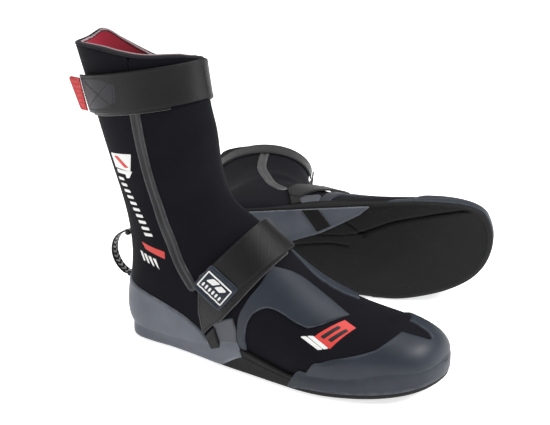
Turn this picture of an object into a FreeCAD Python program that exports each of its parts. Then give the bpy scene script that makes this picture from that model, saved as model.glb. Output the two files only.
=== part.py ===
import FreeCAD, Part
import math
import os

# A pair of round-toe neoprene surf boots. The right boot stands; the left boot lies on its
# lateral side behind it. Millimetres, +Z up, +X from heel to toe of the right boot, and its
# lateral side towards -Y. Each boot is drawn with the back of its heel at zero, and the pair is
# then moved so that the origin is on the ground under the middle of the right heel.

Vector = FreeCAD.Vector
doc = FreeCAD.newDocument("neoprene_boots")

# ---------------------------------------------------------------- driving dimensions

SIZES = [
    ("neoprene_thickness", 5.0),
    ("lining_thickness", 1.5),
    ("layer_gap", 0.3),
    ("overlay_thickness", 1.5),
    ("tape_thickness", 1.0),
    ("tape_width", 11.0),
    ("edge_depth", 2.0),
    ("sole_block_height", 40.0),
    ("insole_top", 15.0),
    ("divider_thickness", 4.0),
    ("divider_from", 246.0),
    ("divider_to", 300.0),
    ("divider_side", 10.0),
    ("divider_top", 46.0),
    ("half_width_limit", 130.0),
    ("webbing_thickness", 1.8),
    ("pad_thickness", 1.2),
    ("loop_thickness", 0.8),
    ("hook_thickness", 0.8),
    ("ankle_strap_slope", 0.2),
    ("ankle_strap_low", 218.0),
    ("ankle_strap_height", 36.0),
    ("ankle_anchor_drop", 3.0),
    ("ankle_strap_end_x", -36.0),
    ("ankle_hook_front_x", 10.0),
    ("ankle_loop_front_x", 60.0),
    ("tab_top_length", 13.5),
    ("tab_foot_length", 7.0),
    ("tab_thickness", 2.4),
    ("tab_margin", 1.5),
    ("tab_side", 22.3),
    ("tab_turn", -10.0),
    ("tab_lean", 13.6),
    ("instep_hinge_side", 24.0),
    ("badge_thickness", 1.6),
    ("heel_loop_x", -13.0),
    ("heel_loop_z", 70.0),
    ("heel_loop_rise", 23.0),
    ("heel_loop_reach", 17.0),
    ("heel_loop_thickness", 1.6),
    ("heel_loop_width", 10.0),
    ("heel_tab_length", 4.7),
    ("heel_tab_height", 5.5),
    ("pair_x", -40.0),
    ("left_x", -3.0),
    ("left_y", 101.0),
    ("left_z", 45.6),
    ("left_yaw", 14.5),
    ("left_tilt", -1.15),
    ("left_pitch", -3.49),
]

# Cross-sections of the boot's outer neoprene surface, from the toe tip round the heel to the
# collar. Each has a point under the foot (or behind the leg), a point over it (or in front of
# the leg), the half width to each side, the shift to the medial side, the share of the section
# below its widest line, how square it is above and below, and how far it grows forward with an
# outer layer.
STATION_FIELDS = (
    "under_x", "under_z", "over_x", "over_z", "lateral", "medial",
    "shift", "split", "over_power", "under_power", "forward",
)
STATIONS = [
    ("tip", 306, 18, 308, 29, 9, 9, 7, 0.50, 2.0, 2.0, 1.0),
    ("toes", 303, 13, 306, 39, 22, 22, 6, 0.45, 2.0, 2.6, 0.8),
    ("toecap", 285, 10, 297, 51, 37, 35, 3, 0.42, 2.0, 3.5, 0.4),
    ("forefoot", 251, 7, 272, 60, 49, 43, 1, 0.38, 2.1, 4.5, 0.1),
    ("ball", 208, 5, 232, 67, 55, 45, -1, 0.34, 2.1, 4.5, 0.0),
    ("waist", 160, 5, 190, 82, 51, 41, 0, 0.32, 2.1, 4.5, 0.0),
    ("arch", 114, 5, 155, 106, 46, 38, 0, 0.34, 2.1, 5.0, 0.0),
    ("instep", 66, 5, 127, 127, 42, 39, 0, 0.38, 2.1, 5.0, 0.0),
    ("seat", 16, 5, 105, 139, 40, 39, 0, 0.44, 2.1, 4.5, 0.0),
    ("heel", -4, 26, 97, 152, 38, 38, 0, 0.48, 2.0, 2.6, 0.0),
    ("ankle", -1, 68, 93, 165, 37, 37, 0, 0.50, 2.0, 2.0, 0.0),
    ("lowleg", -6, 113, 90, 180, 35, 35, 0, 0.50, 2.0, 2.0, 0.0),
    ("leg", -21, 160, 88, 205, 34, 34, 0, 0.50, 2.0, 2.0, 0.0),
    ("strapline", -38, 216, 80, 231, 36, 36, 0, 0.50, 2.0, 2.0, 0.0),
    ("top", -60, 290, 72, 284, 36, 36, 0, 0.50, 2.0, 2.0, 0.0),
]
RING_POINTS = 24
STEPS_PER_STATION = 2

sheet = doc.addObject("Spreadsheet::Sheet", "sizes")
cell_row = 1


def put(name, value):
    """One named number in the sheet."""
    global cell_row
    sheet.set(f"A{cell_row}", name)
    sheet.set(f"B{cell_row}", str(value))
    sheet.setAlias(f"B{cell_row}", name)
    cell_row += 1


for size_name, size_value in SIZES:
    put(size_name, size_value)
for station in STATIONS:
    for field, field_value in zip(STATION_FIELDS, station[1:]):
        put(f"{station[0]}_{field}", field_value)
doc.recompute()


def size(name):
    """A driving dimension, read from the sheet."""
    return float(sheet.get(name))


# ---------------------------------------------------------------- the boot's form


def station_values(station_name):
    return [size(f"{station_name}_{field}") for field in STATION_FIELDS]


def blended_rows():
    """The stations and one smooth section between each two, by Catmull-Rom."""
    rows = [station_values(station[0]) for station in STATIONS]
    last = len(rows) - 1
    made = []
    for i in range(last):
        before, here = rows[max(i - 1, 0)], rows[i]
        after, beyond = rows[i + 1], rows[min(i + 2, last)]
        for step in range(STEPS_PER_STATION):
            u = step / STEPS_PER_STATION
            made.append([
                0.5 * (2 * h + (a - b) * u + (2 * b - 5 * h + 4 * a - f) * u * u
                       + (3 * h - b - 3 * a + f) * u ** 3)
                for b, h, a, f in zip(before, here, after, beyond)
            ])
    made.append(rows[last])
    return made


def signed_power(value, power):
    return math.copysign(abs(value) ** (2.0 / power), value)


def ring_points(row, grow):
    """Points round one cross-section, moved outwards by grow."""
    (under_x, under_z, over_x, over_z, lateral, medial,
     shift, split, over_power, under_power, forward) = row
    under, over = Vector(under_x, 0, under_z), Vector(over_x, 0, over_z)
    up = (over - under).normalize()
    height = (over - under).Length
    middle = under + up * (height * split)
    push = Vector(grow * forward, shift, 0)
    points = []
    for k in range(RING_POINTS):
        angle = 2 * math.pi * k / RING_POINTS
        c, s = math.cos(angle), math.sin(angle)
        power = over_power if c >= 0 else under_power
        reach = height * (1 - split) if c >= 0 else height * split
        half = lateral if s >= 0 else medial
        rise = (reach + grow) * signed_power(c, power)
        side = (half + grow) * signed_power(s, power)
        points.append(middle + up * rise + Vector(0, -side, 0) + push)
    return points


ROWS = blended_rows()
INNER_FIRST_ROW = 2
DEGREE = 3


def form_shape(grow):
    """The closed solid of the boot's outer surface, grown or shrunk by grow."""
    first = INNER_FIRST_ROW if grow < -1 else 0
    poles = [ring_points(row, grow) for row in ROWS[first:]]
    along = [DEGREE + 1] + [1] * (len(poles) - DEGREE - 1) + [DEGREE + 1]
    around = [1] * (RING_POINTS + 1)
    surface = Part.BSplineSurface()
    surface.buildFromPolesMultsKnots(
        poles, along, around, list(range(len(along))), list(range(len(around))),
        False, True, DEGREE, DEGREE)
    ends = surface.bounds()[:2]
    caps = [Part.Face(Part.Wire([surface.uIso(end).toShape()])) for end in ends]
    closed = Part.makeCompound([surface.toShape()] + caps)
    closed.sewShape()
    solid = Part.Solid(closed.Shells[0])
    if solid.Volume < 0:
        solid.reverse()
    return solid


made_forms = {}


def form(grow):
    """The boot's form at one growth, kept so that each is lofted once."""
    key = round(grow, 3)
    if key not in made_forms:
        made_forms[key] = form_shape(key)
    return made_forms[key]


def shell(low, high):
    """A skin of the boot between two growths."""
    return form(high).cut(form(low))


# ---------------------------------------------------------------- sketches and cutters


def origin_plane(body, role):
    return next(f for f in body.Origin.OriginFeatures if f.Role == role)


def new_sketch(body, name, role):
    sketch = body.newObject("Sketcher::SketchObject", name)
    sketch.AttachmentSupport = [(origin_plane(body, role), "")]
    sketch.MapMode = "FlatFace"
    return sketch


def flat(points):
    return [Vector(x, y, 0) for x, y in points]


def draw_outline(sketch, edges, closing=()):
    """Smooth edges end to end, closed by straight lines through the closing points."""
    for edge in edges:
        curve = Part.BSplineCurve()
        curve.interpolate(Points=flat(edge))
        sketch.addGeometry(curve, False)
    if edges[-1][-1] == edges[0][0] and not closing:
        return
    corners = flat([edges[-1][-1]] + list(closing) + [edges[0][0]])
    for start, end in zip(corners, corners[1:]):
        sketch.addGeometry(Part.LineSegment(start, end), False)


def draw_polygon(sketch, corners):
    ring = flat(list(corners) + [corners[0]])
    for start, end in zip(ring, ring[1:]):
        sketch.addGeometry(Part.LineSegment(start, end), False)


def draw_band(sketch, left, right):
    """A ribbon between two smooth edges, closed at its ends by straight lines."""
    for edge in (left, right):
        curve = Part.BSplineCurve()
        curve.interpolate(Points=flat(edge))
        sketch.addGeometry(curve, False)
    for start, end in ((left[0], right[0]), (left[-1], right[-1])):
        first, second = flat([start, end])
        sketch.addGeometry(Part.LineSegment(first, second), False)


def cutter(name, draw, tilt=0.0, side="lateral"):
    """A padded sketch seen from the side (tilt 0) or from above (tilt -90), or between them.

    Its X runs to the toe and its Y upwards, or to the medial side when seen from above.
    """
    body = doc.addObject("PartDesign::Body", name)
    sketch = new_sketch(body, name + "_outline", "XZ_Plane")
    draw(sketch)
    pad = body.newObject("PartDesign::Pad", name + "_pad")
    pad.Profile = sketch
    pad.setExpression("Length", "sizes.half_width_limit")
    if side == "medial":
        pad.Reversed = True
    if side == "both":
        pad.SideType = "Two sides"
        pad.setExpression("Length2", "sizes.half_width_limit")
    body.Placement = FreeCAD.Placement(
        Vector(0, 0, 0), FreeCAD.Rotation(Vector(1, 0, 0), tilt))
    doc.recompute()
    if not body.Shape.isValid() or body.Shape.Volume < 1:
        raise RuntimeError(f"{name} made no solid")
    return body


def ribbon(centre, width):
    """The two edges of a ribbon of one width along a centre line."""
    left, right = [], []
    for i, (x, z) in enumerate(centre):
        before = centre[max(i - 1, 0)]
        after = centre[min(i + 1, len(centre) - 1)]
        run, rise = after[0] - before[0], after[1] - before[1]
        length = math.hypot(run, rise)
        step_x, step_z = -rise / length * width / 2, run / length * width / 2
        left.append((x + step_x, z + step_z))
        right.append((x - step_x, z - step_z))
    return left, right


def moved(points, dx=0.0, dz=0.0):
    return [(x + dx, z + dz) for x, z in points]


parts = {}


def keep(name, shape):
    """One sub-part of the right boot, as a document object."""
    pieces = [solid for solid in shape.Solids if solid.Volume > 0.5]
    if not pieces:
        raise RuntimeError(f"{name} is empty")
    shape = pieces[0] if len(pieces) == 1 else Part.makeCompound(pieces)
    item = doc.addObject("Part::Feature", "right_" + name)
    item.Label = "right_" + name
    item.Shape = shape
    item.Placement = shape.Placement
    parts[name] = item


# ---------------------------------------------------------------- layers, from the inside out

NEOPRENE_IN = -size("neoprene_thickness")
LINING_OUT = NEOPRENE_IN - size("layer_gap")
LINING_IN = LINING_OUT - size("lining_thickness")
INSIDE = LINING_IN - size("layer_gap")
GAP = size("layer_gap")
HALF = size("half_width_limit")
SKIN = GAP
OVERLAY = SKIN + size("overlay_thickness")
TAPE = SKIN + size("tape_thickness")

# The collar's top line on the lateral side and on the medial side, seen from the side. The soft
# collar is pulled up at the medial back and down at the medial front, and the two lines pass into
# each other between the two planes at COLLAR_BLEND either side of the middle.
COLLAR_LATERAL = [(-90, 266), (-57, 273), (-44, 275), (-27, 276.3), (-8, 276), (10, 274), (35, 272),
                  (60, 272.8), (75, 272), (110, 270)]
COLLAR_MEDIAL = [(-90, 262), (-57, 274), (-44, 282), (-27, 273.2), (-8, 264), (10, 258.5), (35, 260),
                 (60, 264.5), (75, 268), (110, 276)]
COLLAR_BLEND = 14
# The seam between leg panels and the seam over the instep, both seen from the side.
PANEL_SEAM = [
    (20, 300), (24, 250), (28, 217), (32, 189), (37, 167), (46, 141),
    (59, 110), (71, 88), (88, 66), (103, 42), (111, 16), (114, -20),
]
INSTEP_SEAM_LOW = (103, 42)
INSTEP_SEAM_HIGH = (146, 150)
ABOVE, BELOW, BEHIND, AHEAD = 330, -30, -140, 340


def below_collar(drop):
    """Everything under the collar's two lines, lowered by drop."""
    body = doc.addObject("PartDesign::Body", f"under_collar_{int(drop * 10)}")
    front, back = COLLAR_LATERAL[-1][0], COLLAR_LATERAL[0][0]
    sections = []
    for number, (line, y) in enumerate((
            (COLLAR_LATERAL, -HALF), (COLLAR_LATERAL, -COLLAR_BLEND),
            (COLLAR_MEDIAL, COLLAR_BLEND), (COLLAR_MEDIAL, HALF))):
        sketch = new_sketch(body, f"{body.Name}_section_{number + 1}", "XZ_Plane")
        sketch.AttachmentOffset = FreeCAD.Placement(Vector(0, 0, -y), FreeCAD.Rotation())
        draw_outline(sketch, [moved(line, dz=-drop)], [(front, BELOW), (back, BELOW)])
        sections.append(sketch)
    doc.recompute()
    under = Part.makeLoft([section.Shape for section in sections], True, True)
    if not under.isValid() or under.Volume < 1:
        raise RuntimeError(f"{body.Name} made no solid")
    far = Part.makeBox(AHEAD, 2 * HALF, ABOVE - BELOW, Vector(front, -HALF, BELOW))
    return under.fuse(far)


def neoprene_panels():
    """The foot, shin and heel panels, which meet at glued and stitched seams."""
    skin = shell(NEOPRENE_IN, 0.0).common(below_collar(size("edge_depth") + SKIN))
    half_gap = size("layer_gap") / 2
    seam_front = moved(PANEL_SEAM, dx=half_gap)
    seam_back = moved(PANEL_SEAM, dx=-half_gap)
    rear = cutter("behind_seam", lambda sketch: draw_outline(
        sketch, [seam_back], [(BEHIND, BELOW + 10), (BEHIND, seam_back[0][1])]), side="both")
    front = cutter("before_seam", lambda sketch: draw_outline(
        sketch, [seam_front], [(AHEAD, BELOW + 10), (AHEAD, seam_front[0][1])]), side="both")
    low_x, low_z = INSTEP_SEAM_LOW
    high_x, high_z = INSTEP_SEAM_HIGH
    lean = (high_x - low_x) / (high_z - low_z)
    foot_x = low_x - lean * (low_z - BELOW)
    top_x = high_x + lean * (ABOVE - high_z)
    ahead = cutter("before_instep_seam", lambda sketch: draw_polygon(sketch, [
        (foot_x - 30 + half_gap, BELOW), (low_x + half_gap, low_z), (top_x + half_gap, ABOVE),
        (AHEAD + 60, ABOVE), (AHEAD + 60, BELOW)]), side="both")
    over = cutter("over_instep_seam", lambda sketch: draw_polygon(sketch, [
        (foot_x - 30 - half_gap, BELOW), (low_x - half_gap, low_z), (top_x - half_gap, ABOVE),
        (BEHIND, ABOVE), (BEHIND, BELOW)]), side="both")
    keep("heel_panel", skin.common(rear.Shape))
    keep("foot_panel", skin.common(front.Shape).common(ahead.Shape))
    keep("shin_panel", skin.common(front.Shape).common(over.Shape))


def lining_and_edge():
    """The fleece lining sock and the glued edge that closes the collar."""
    keep("lining", shell(LINING_IN, LINING_OUT).common(
        below_collar(size("edge_depth") + SKIN)))
    band = shell(LINING_IN, SKIN).common(below_collar(0.0))
    keep("collar_edge", band.cut(below_collar(size("edge_depth"))))


# ---------------------------------------------------------------- sole and what is inside

SOLE_LATERAL = [
    (3, 0), (6, -20), (16, -33), (35, -37), (60, -38.5), (90, -43), (120, -48.5),
    (150, -52), (180, -55.5), (212, -58), (240, -54.5), (268, -47), (291, -35), (305, -18),
    (311, 6),
]
SOLE_MEDIAL = [
    (305, 29), (291, 40), (268, 45), (240, 47), (210, 46), (180, 44), (150, 42), (120, 40),
    (90, 38), (60, 36), (35, 35.5), (16, 32), (6, 19), (3, 0),
]
RIM_LINE = [
    (-40, 8), (60, 8), (95, 11), (118, 20), (140, 23), (165, 18), (200, 13), (245, 17),
    (280, 27), (330, 33),
]
TOE_SPRING = [(195, 0), (235, 1.5), (270, 5.0), (300, 10.0), (330, 16.5)]


def outsole_block():
    """The sole's plan, cut to the rim's top line and to the sprung toe underneath."""
    body = doc.addObject("PartDesign::Body", "sole_block")
    plan = new_sketch(body, "sole_plan", "XY_Plane")
    draw_outline(plan, [SOLE_LATERAL, [SOLE_LATERAL[-1]] + SOLE_MEDIAL])
    pad = body.newObject("PartDesign::Pad", "sole_pad")
    pad.Profile = plan
    pad.setExpression("Length", "sizes.sole_block_height")
    doc.recompute()
    volumes = [body.Shape.Volume]
    rim = new_sketch(body, "rim_line", "XZ_Plane")
    draw_outline(rim, [RIM_LINE], [(330, 60), (-40, 60)])
    spring = new_sketch(body, "toe_spring", "XZ_Plane")
    draw_outline(spring, [TOE_SPRING], [(330, -20), (195, -20)])
    for name, sketch in (("rim_cut", rim), ("spring_cut", spring)):
        pocket = body.newObject("PartDesign::Pocket", name)
        pocket.Profile = sketch
        pocket.Type = "ThroughAll"
        pocket.SideType = "Symmetric"
        doc.recompute()
        volumes.append(body.Shape.Volume)
    if not volumes[0] > volumes[1] > volumes[2]:
        raise RuntimeError("a sole cut removed nothing")
    return body


def sole_parts():
    """The outsole, cupped round the foot. Returns the space that it takes, for what sits on it."""
    block = outsole_block()
    keep("outsole", block.Shape.cut(form(SKIN)))
    rim = block.Shape.copy()
    rim.translate(Vector(0, 0, size("layer_gap")))
    return rim


def inside_parts():
    """The cushioned insole, and the web between the big toe and the others."""
    inside = form(INSIDE)
    slab = Part.makeBox(AHEAD, 200, size("insole_top"), Vector(-20, -100, 0))
    keep("insole", inside.common(slab))
    web = Part.makeBox(
        size("divider_to") - size("divider_from"), size("divider_thickness"),
        size("divider_top") - size("insole_top") - SKIN,
        Vector(size("divider_from"), size("divider_side"), size("insole_top") + SKIN))
    keep("toe_divider", inside.common(web))


# ---------------------------------------------------------------- rubber overlays

TOE_CAP_EDGE = [
    (196, -62), (203, -57), (213, -55), (226, -53), (242, -49), (256, -43), (265, -36),
    (272, -24), (275, -15),
]
TOE_SLOT = [(275, -15), (286, -11), (295, -6), (297, -1), (292, 2), (284, 3), (275, 4)]
TOE_CAP_MEDIAL = [(275, 4), (273, 15), (264, 29), (247, 40), (226, 45), (205, 48), (196, 52)]
HEEL_EDGE = [(-30, 60), (-5, 59), (10, 57), (29, 53), (58, 45), (79, 37), (97, 26), (106, 12),
             (108, -5)]
HEEL_MEDIAL_EDGE = [(-30, 60), (-5, 59), (8, 56), (20, 42), (28, 22), (32, 5), (33, -5)]
WING = [(107, 41), (129, 50), (141, 24), (144, -10), (121, -10), (118, 14)]
INSTEP_EDGES = [
    [(136, -18), (134, -6), (135, 6), (142, 20), (150, 33), (156, 53)],
    [(156, 53), (178, 54), (206, 43), (231, 31)],
    [(231, 31), (212, 14), (201, 8.5)],
    [(201, 8.5), (188, 11), (173, 16), (161, 16.5), (151, 11), (145, 3), (143, -7), (145, -18)],
    [(145, -18), (136, -18)],
]
MEDIAL_EDGES = [
    [(134, -16), (133, -4), (136, 20), (145, 45), (153, 66)],
    [(153, 66), (186, 58), (210, 51), (228, 43)],
    [(228, 43), (213, 21), (203, 13)],
    [(203, 13), (187, 17), (171, 20), (158, 18), (150, 10), (146, 0), (144, -8), (145, -16)],
    [(145, -16), (134, -16)],
]


def overlays(rim):
    """Rubber skins moulded onto the neoprene, each ending just above the sole's rim."""
    skin = shell(SKIN, OVERLAY).cut(rim)
    cap = cutter("toe_cap_cut", lambda sketch: draw_outline(
        sketch, [TOE_CAP_EDGE, TOE_SLOT, TOE_CAP_MEDIAL],
        [(196, 80), (340, 80), (340, -80), (196, -80)]), tilt=-90)
    keep("toe_cap", skin.common(cap.Shape))
    heel = cutter("heel_counter_cut", lambda sketch: draw_outline(
        sketch, [HEEL_EDGE], [(-60, -5), (-60, 60)]))
    heel_medial = cutter("heel_counter_medial_cut", lambda sketch: draw_outline(
        sketch, [HEEL_MEDIAL_EDGE], [(-60, -5), (-60, 60)]), side="medial")
    keep("heel_counter", skin.common(heel.Shape.fuse(heel_medial.Shape)))
    outer = cutter("instep_overlay_cut", lambda sketch: draw_outline(
        sketch, INSTEP_EDGES), tilt=-45)
    keep("instep_overlay", skin.common(outer.Shape))
    inner = cutter("medial_overlay_cut", lambda sketch: draw_outline(
        sketch, MEDIAL_EDGES), tilt=45, side="medial")
    inner_side = Part.makeBox(AHEAD, HALF, ABOVE, Vector(0, 0, 0))
    keep("medial_overlay", skin.common(inner.Shape).common(inner_side))
    for side, overlay in (("lateral", outer), ("medial", inner)):
        wing = cutter(f"{side}_wing_cut",
                      lambda sketch: draw_polygon(sketch, WING), side=side)
        beside = overlay.Shape.copy()
        beside.translate(Vector(-GAP, 0, 0))
        keep(f"{side}_wing", skin.common(wing.Shape).cut(overlay.Shape).cut(beside))


# ---------------------------------------------------------------- seam tapes

SEAM_TAPE = [
    (24, 250), (28, 217), (32, 189), (37, 167), (46, 141), (59, 110), (70, 88), (84, 70),
]


def seam_tapes():
    """The double-ridged tape over the leg seam on each side."""
    skin = shell(SKIN, TAPE)
    edges = ribbon(SEAM_TAPE, size("tape_width"))
    for side in ("lateral", "medial"):
        band = cutter(f"{side}_tape_cut", lambda sketch: draw_band(sketch, *edges), side=side)
        keep(f"{side}_seam_tape", skin.common(band.Shape))


# ---------------------------------------------------------------- ankle strap

ANCHOR_IN = TAPE + GAP
ANCHOR_OUT = ANCHOR_IN + size("webbing_thickness")
ANKLE_LOOP_OUT = ANCHOR_IN + size("loop_thickness")
ANKLE_HOOK_IN = ANKLE_LOOP_OUT + GAP
ANKLE_HOOK_OUT = ANKLE_HOOK_IN + size("hook_thickness")
ANKLE_STRAP_IN = ANKLE_HOOK_OUT + GAP
ANKLE_STRAP_OUT = ANKLE_STRAP_IN + size("webbing_thickness")


def strap_slab(name, drop):
    """The slice of the leg that a strap covers, level with the strap's slope."""
    slope = size("ankle_strap_slope")
    low = size("ankle_strap_low") - drop
    high = size("ankle_strap_low") + size("ankle_strap_height") - drop
    back, front = -120, 140
    return cutter(name, lambda sketch: draw_polygon(sketch, [
        (back, low + slope * back), (front, low + slope * front),
        (front, high + slope * front), (back, high + slope * back)]), side="both")


def side_box(from_x, to_x, from_y, to_y):
    """A tall box seen from above, to part a band into its lengths."""
    return Part.makeBox(to_x - from_x, to_y - from_y, ABOVE, Vector(from_x, from_y, 0))


def ankle_strap():
    """The webbing sewn round the inner side, and the free length that peels off the outer."""
    upper = strap_slab("ankle_strap_cut", 0).Shape
    lower = strap_slab("ankle_anchor_cut", size("ankle_anchor_drop")).Shape
    end_x = size("ankle_strap_end_x")
    sewn = side_box(BEHIND, AHEAD, GAP, HALF).fuse(side_box(BEHIND, end_x - GAP, -HALF, GAP))
    keep("ankle_strap_anchor", shell(ANCHOR_IN, ANCHOR_OUT).common(lower).common(sewn))
    loop = side_box(end_x, size("ankle_loop_front_x"), -HALF, 0)
    keep("ankle_loop_patch", shell(ANCHOR_IN, ANKLE_LOOP_OUT).common(lower).common(loop))
    hook = side_box(end_x + 2, size("ankle_hook_front_x"), -HALF, 0)
    keep("ankle_hook_patch", shell(ANKLE_HOOK_IN, ANKLE_HOOK_OUT).common(upper).common(hook))
    free = side_box(end_x, AHEAD, -HALF, 0)
    keep("ankle_strap", shell(ANKLE_STRAP_IN, ANKLE_STRAP_OUT).common(upper).common(free))


def pull_tab():
    """The rubber tab on the end of the ankle strap, a rounded plate that stands off the heel."""
    top_length, foot_length = size("tab_top_length"), size("tab_foot_length")
    half = size("ankle_strap_height") / 2 - size("tab_margin")
    end_x = size("ankle_strap_end_x") - GAP
    middle = (size("ankle_strap_low") + size("ankle_strap_slope") * end_x
              + size("ankle_strap_height") / 2)
    body = doc.addObject("PartDesign::Body", "pull_tab_plate")
    sketch = new_sketch(body, "pull_tab_outline", "XZ_Plane")
    sketch.AttachmentOffset = FreeCAD.Placement(
        Vector(end_x, middle, size("tab_side")),
        FreeCAD.Rotation(Vector(0, 1, 0), size("tab_turn"))
        * FreeCAD.Rotation(Vector(1, 0, 0), size("tab_lean")))
    draw_polygon(sketch, [
        (0, -half), (0, half), (2 - top_length, half), (-top_length, half - 2.5),
        (-foot_length, 2 - half), (1.5 - foot_length, -half)])
    pad = body.newObject("PartDesign::Pad", "pull_tab_pad")
    pad.Profile = sketch
    pad.setExpression("Length", "sizes.tab_thickness")
    doc.recompute()
    keep("ankle_pull_tab", body.Shape)


# ---------------------------------------------------------------- instep strap

PAD_IN = OVERLAY + GAP
PAD_OUT = PAD_IN + size("pad_thickness")
WEBBING_OUT = PAD_IN + size("webbing_thickness")
INSTEP_HOOK_IN = PAD_OUT + GAP
INSTEP_HOOK_OUT = INSTEP_HOOK_IN + size("hook_thickness")
INSTEP_STRAP_IN = INSTEP_HOOK_OUT + GAP
INSTEP_STRAP_OUT = INSTEP_STRAP_IN + size("webbing_thickness")
BADGE_IN = INSTEP_STRAP_OUT + GAP
BADGE_OUT = BADGE_IN + size("badge_thickness")

INSTEP_BAND = [(87, 72), (113, 54), (182, 122), (150, 143)]
INSTEP_HOOK = [(91, 73), (112, 57), (138, 82), (115, 101)]
BADGE = [(104, 92), (134, 75), (118, 55), (88, 72)]
PAD = [(98, 27), (108, 38), (116, 43), (134, 65), (150, 86), (175, 117), (145, 129), (92, 80),
       (93, 48)]
LATERAL_ANCHOR = [(98.4, 26.5), (108.4, 37.4), (124, 0), (112, 0)]
MEDIAL_STRAP = [(150, 143), (182, 122), (124, 62), (111, 34), (100, 38), (92, 62), (96, 86)]
MEDIAL_ANCHOR = [(100.2, 37.5), (111, 33.5), (124, 0), (112, 0)]


def side_piece(name, low, high, outline, side, within=None, above=None):
    """A length of webbing on one side of the foot, cut to its outline seen from the side."""
    shape = shell(low, high)
    if above is not None:
        shape = shape.cut(above)
    cut = cutter(name + "_cut", lambda sketch: draw_polygon(sketch, outline), side=side)
    shape = shape.common(cut.Shape)
    if within is not None:
        shape = shape.common(within)
    keep(name, shape)


def instep_strap(rim):
    """The strap over the instep, its landing pad, its badge and its two anchors."""
    hinge = size("instep_hinge_side")
    side_piece("instep_pad", PAD_IN, PAD_OUT, PAD, "lateral", above=rim)
    side_piece("lateral_anchor", PAD_IN, WEBBING_OUT, LATERAL_ANCHOR, "lateral", above=rim)
    side_piece("medial_anchor", PAD_IN, WEBBING_OUT, MEDIAL_ANCHOR, "medial", above=rim)
    side_piece("medial_strap", PAD_IN, WEBBING_OUT, MEDIAL_STRAP, "medial",
               within=side_box(0, AHEAD, hinge + GAP, HALF), above=rim)
    side_piece("instep_strap", INSTEP_STRAP_IN, INSTEP_STRAP_OUT, INSTEP_BAND, "both",
               within=side_box(0, AHEAD, -HALF, hinge))
    side_piece("instep_hook_patch", INSTEP_HOOK_IN, INSTEP_HOOK_OUT, INSTEP_HOOK, "lateral")
    side_piece("strap_badge", BADGE_IN, BADGE_OUT, BADGE, "lateral")


# ---------------------------------------------------------------- heel pull loop


def heel_loop():
    """A webbing loop behind the heel, with rounded ends that turn between the sewn tabs."""
    x, z = size("heel_loop_x"), size("heel_loop_z")
    rise, reach = size("heel_loop_rise"), size("heel_loop_reach")
    thick = size("heel_loop_thickness")
    body = doc.addObject("PartDesign::Body", "heel_loop_band")
    sketch = new_sketch(body, "heel_loop_outline", "XZ_Plane")
    ends = []
    for inset in (0, thick):
        top, back, bottom = flat([
            (x, z + rise - inset), (x - reach + inset, z), (x, z - rise + inset)])
        sketch.addGeometry(Part.Arc(top, back, bottom), False)
        ends.append((top, bottom))
    for outer, inner in zip(*ends):
        sketch.addGeometry(Part.LineSegment(outer, inner), False)
    pad = body.newObject("PartDesign::Pad", "heel_loop_pad")
    pad.Profile = sketch
    pad.SideType = "Symmetric"
    pad.setExpression("Length", "sizes.heel_loop_width")
    doc.recompute()
    half_width = size("heel_loop_width") / 2
    hinge_x = x - half_width
    ends = Part.makeCylinder(half_width, 4 * rise, Vector(hinge_x, 0, z - 2 * rise))
    behind = Part.makeBox(2 * reach, 2 * half_width, 4 * rise,
                          Vector(hinge_x - 2 * reach, -half_width, z - 2 * rise))
    keep("heel_loop", body.Shape.common(ends.fuse(behind)))
    tabs = []
    for level, name in ((z + rise - thick, "upper"), (z - rise + thick, "lower")):
        tab = doc.addObject("Part::Box", f"heel_tab_{name}")
        tab.setExpression("Length", "sizes.heel_tab_length")
        tab.setExpression("Width", "sizes.heel_loop_width")
        tab.setExpression("Height", "sizes.heel_tab_height")
        tab.Placement.Base = Vector(
            x + GAP, -size("heel_loop_width") / 2, level - size("heel_tab_height") / 2)
        tabs.append(tab)
    doc.recompute()
    keep("heel_loop_tabs", tabs[0].Shape.fuse(tabs[1].Shape))


# ---------------------------------------------------------------- the pair

neoprene_panels()
lining_and_edge()
rim_space = sole_parts()
inside_parts()
overlays(rim_space)
seam_tapes()
ankle_strap()
pull_tab()
instep_strap(rim_space)
heel_loop()

PAIR_PLACE = FreeCAD.Placement(Vector(size("pair_x"), 0, 0), FreeCAD.Rotation())
LEFT_PLACE = FreeCAD.Placement(
    Vector(size("left_x"), size("left_y"), size("left_z")),
    FreeCAD.Rotation(Vector(0, 0, 1), size("left_yaw"))
    * FreeCAD.Rotation(Vector(0, 1, 0), size("left_pitch"))
    * FreeCAD.Rotation(Vector(1, 0, 0), -90 + size("left_tilt")))


def left_boot():
    """Every sub-part again, mirrored, and laid on its lateral side."""
    made = []
    for name, item in parts.items():
        twin = doc.addObject("Part::Feature", "left_" + name)
        twin.Label = "left_" + name
        twin.Shape = item.Shape.mirror(Vector(0, 0, 0), Vector(0, 1, 0))
        twin.Placement = LEFT_PLACE
        made.append(twin)
    return made


pair = list(parts.values()) + left_boot()
for item in pair:
    item.Placement = PAIR_PLACE * item.Placement
doc.recompute()

for item in doc.Objects:
    if "Invalid" in item.State or "Error" in item.State:
        raise RuntimeError(f"{item.Label} failed: {item.State}")
for item in pair:
    if item.Shape.isNull() or not item.Shape.isValid():
        raise RuntimeError(f"{item.Label} has no valid shape")

os.makedirs("parts", exist_ok=True)
for item in pair:
    item.Shape.exportStep(f"parts/{item.Label}.step")
    box = item.Shape.BoundBox
    print(f"{item.Label:26s} {item.Shape.Volume / 1000:8.2f} cm3  {len(item.Shape.Solids)} solid(s)"
          f"  x {box.XMin:.1f} {box.XMax:.1f}  y {box.YMin:.1f} {box.YMax:.1f}"
          f"  z {box.ZMin:.1f} {box.ZMax:.1f}")
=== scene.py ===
import math

import bmesh
import bpy
import numpy as np
from mathutils import Matrix, Vector
from mathutils.bvhtree import BVHTree

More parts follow.
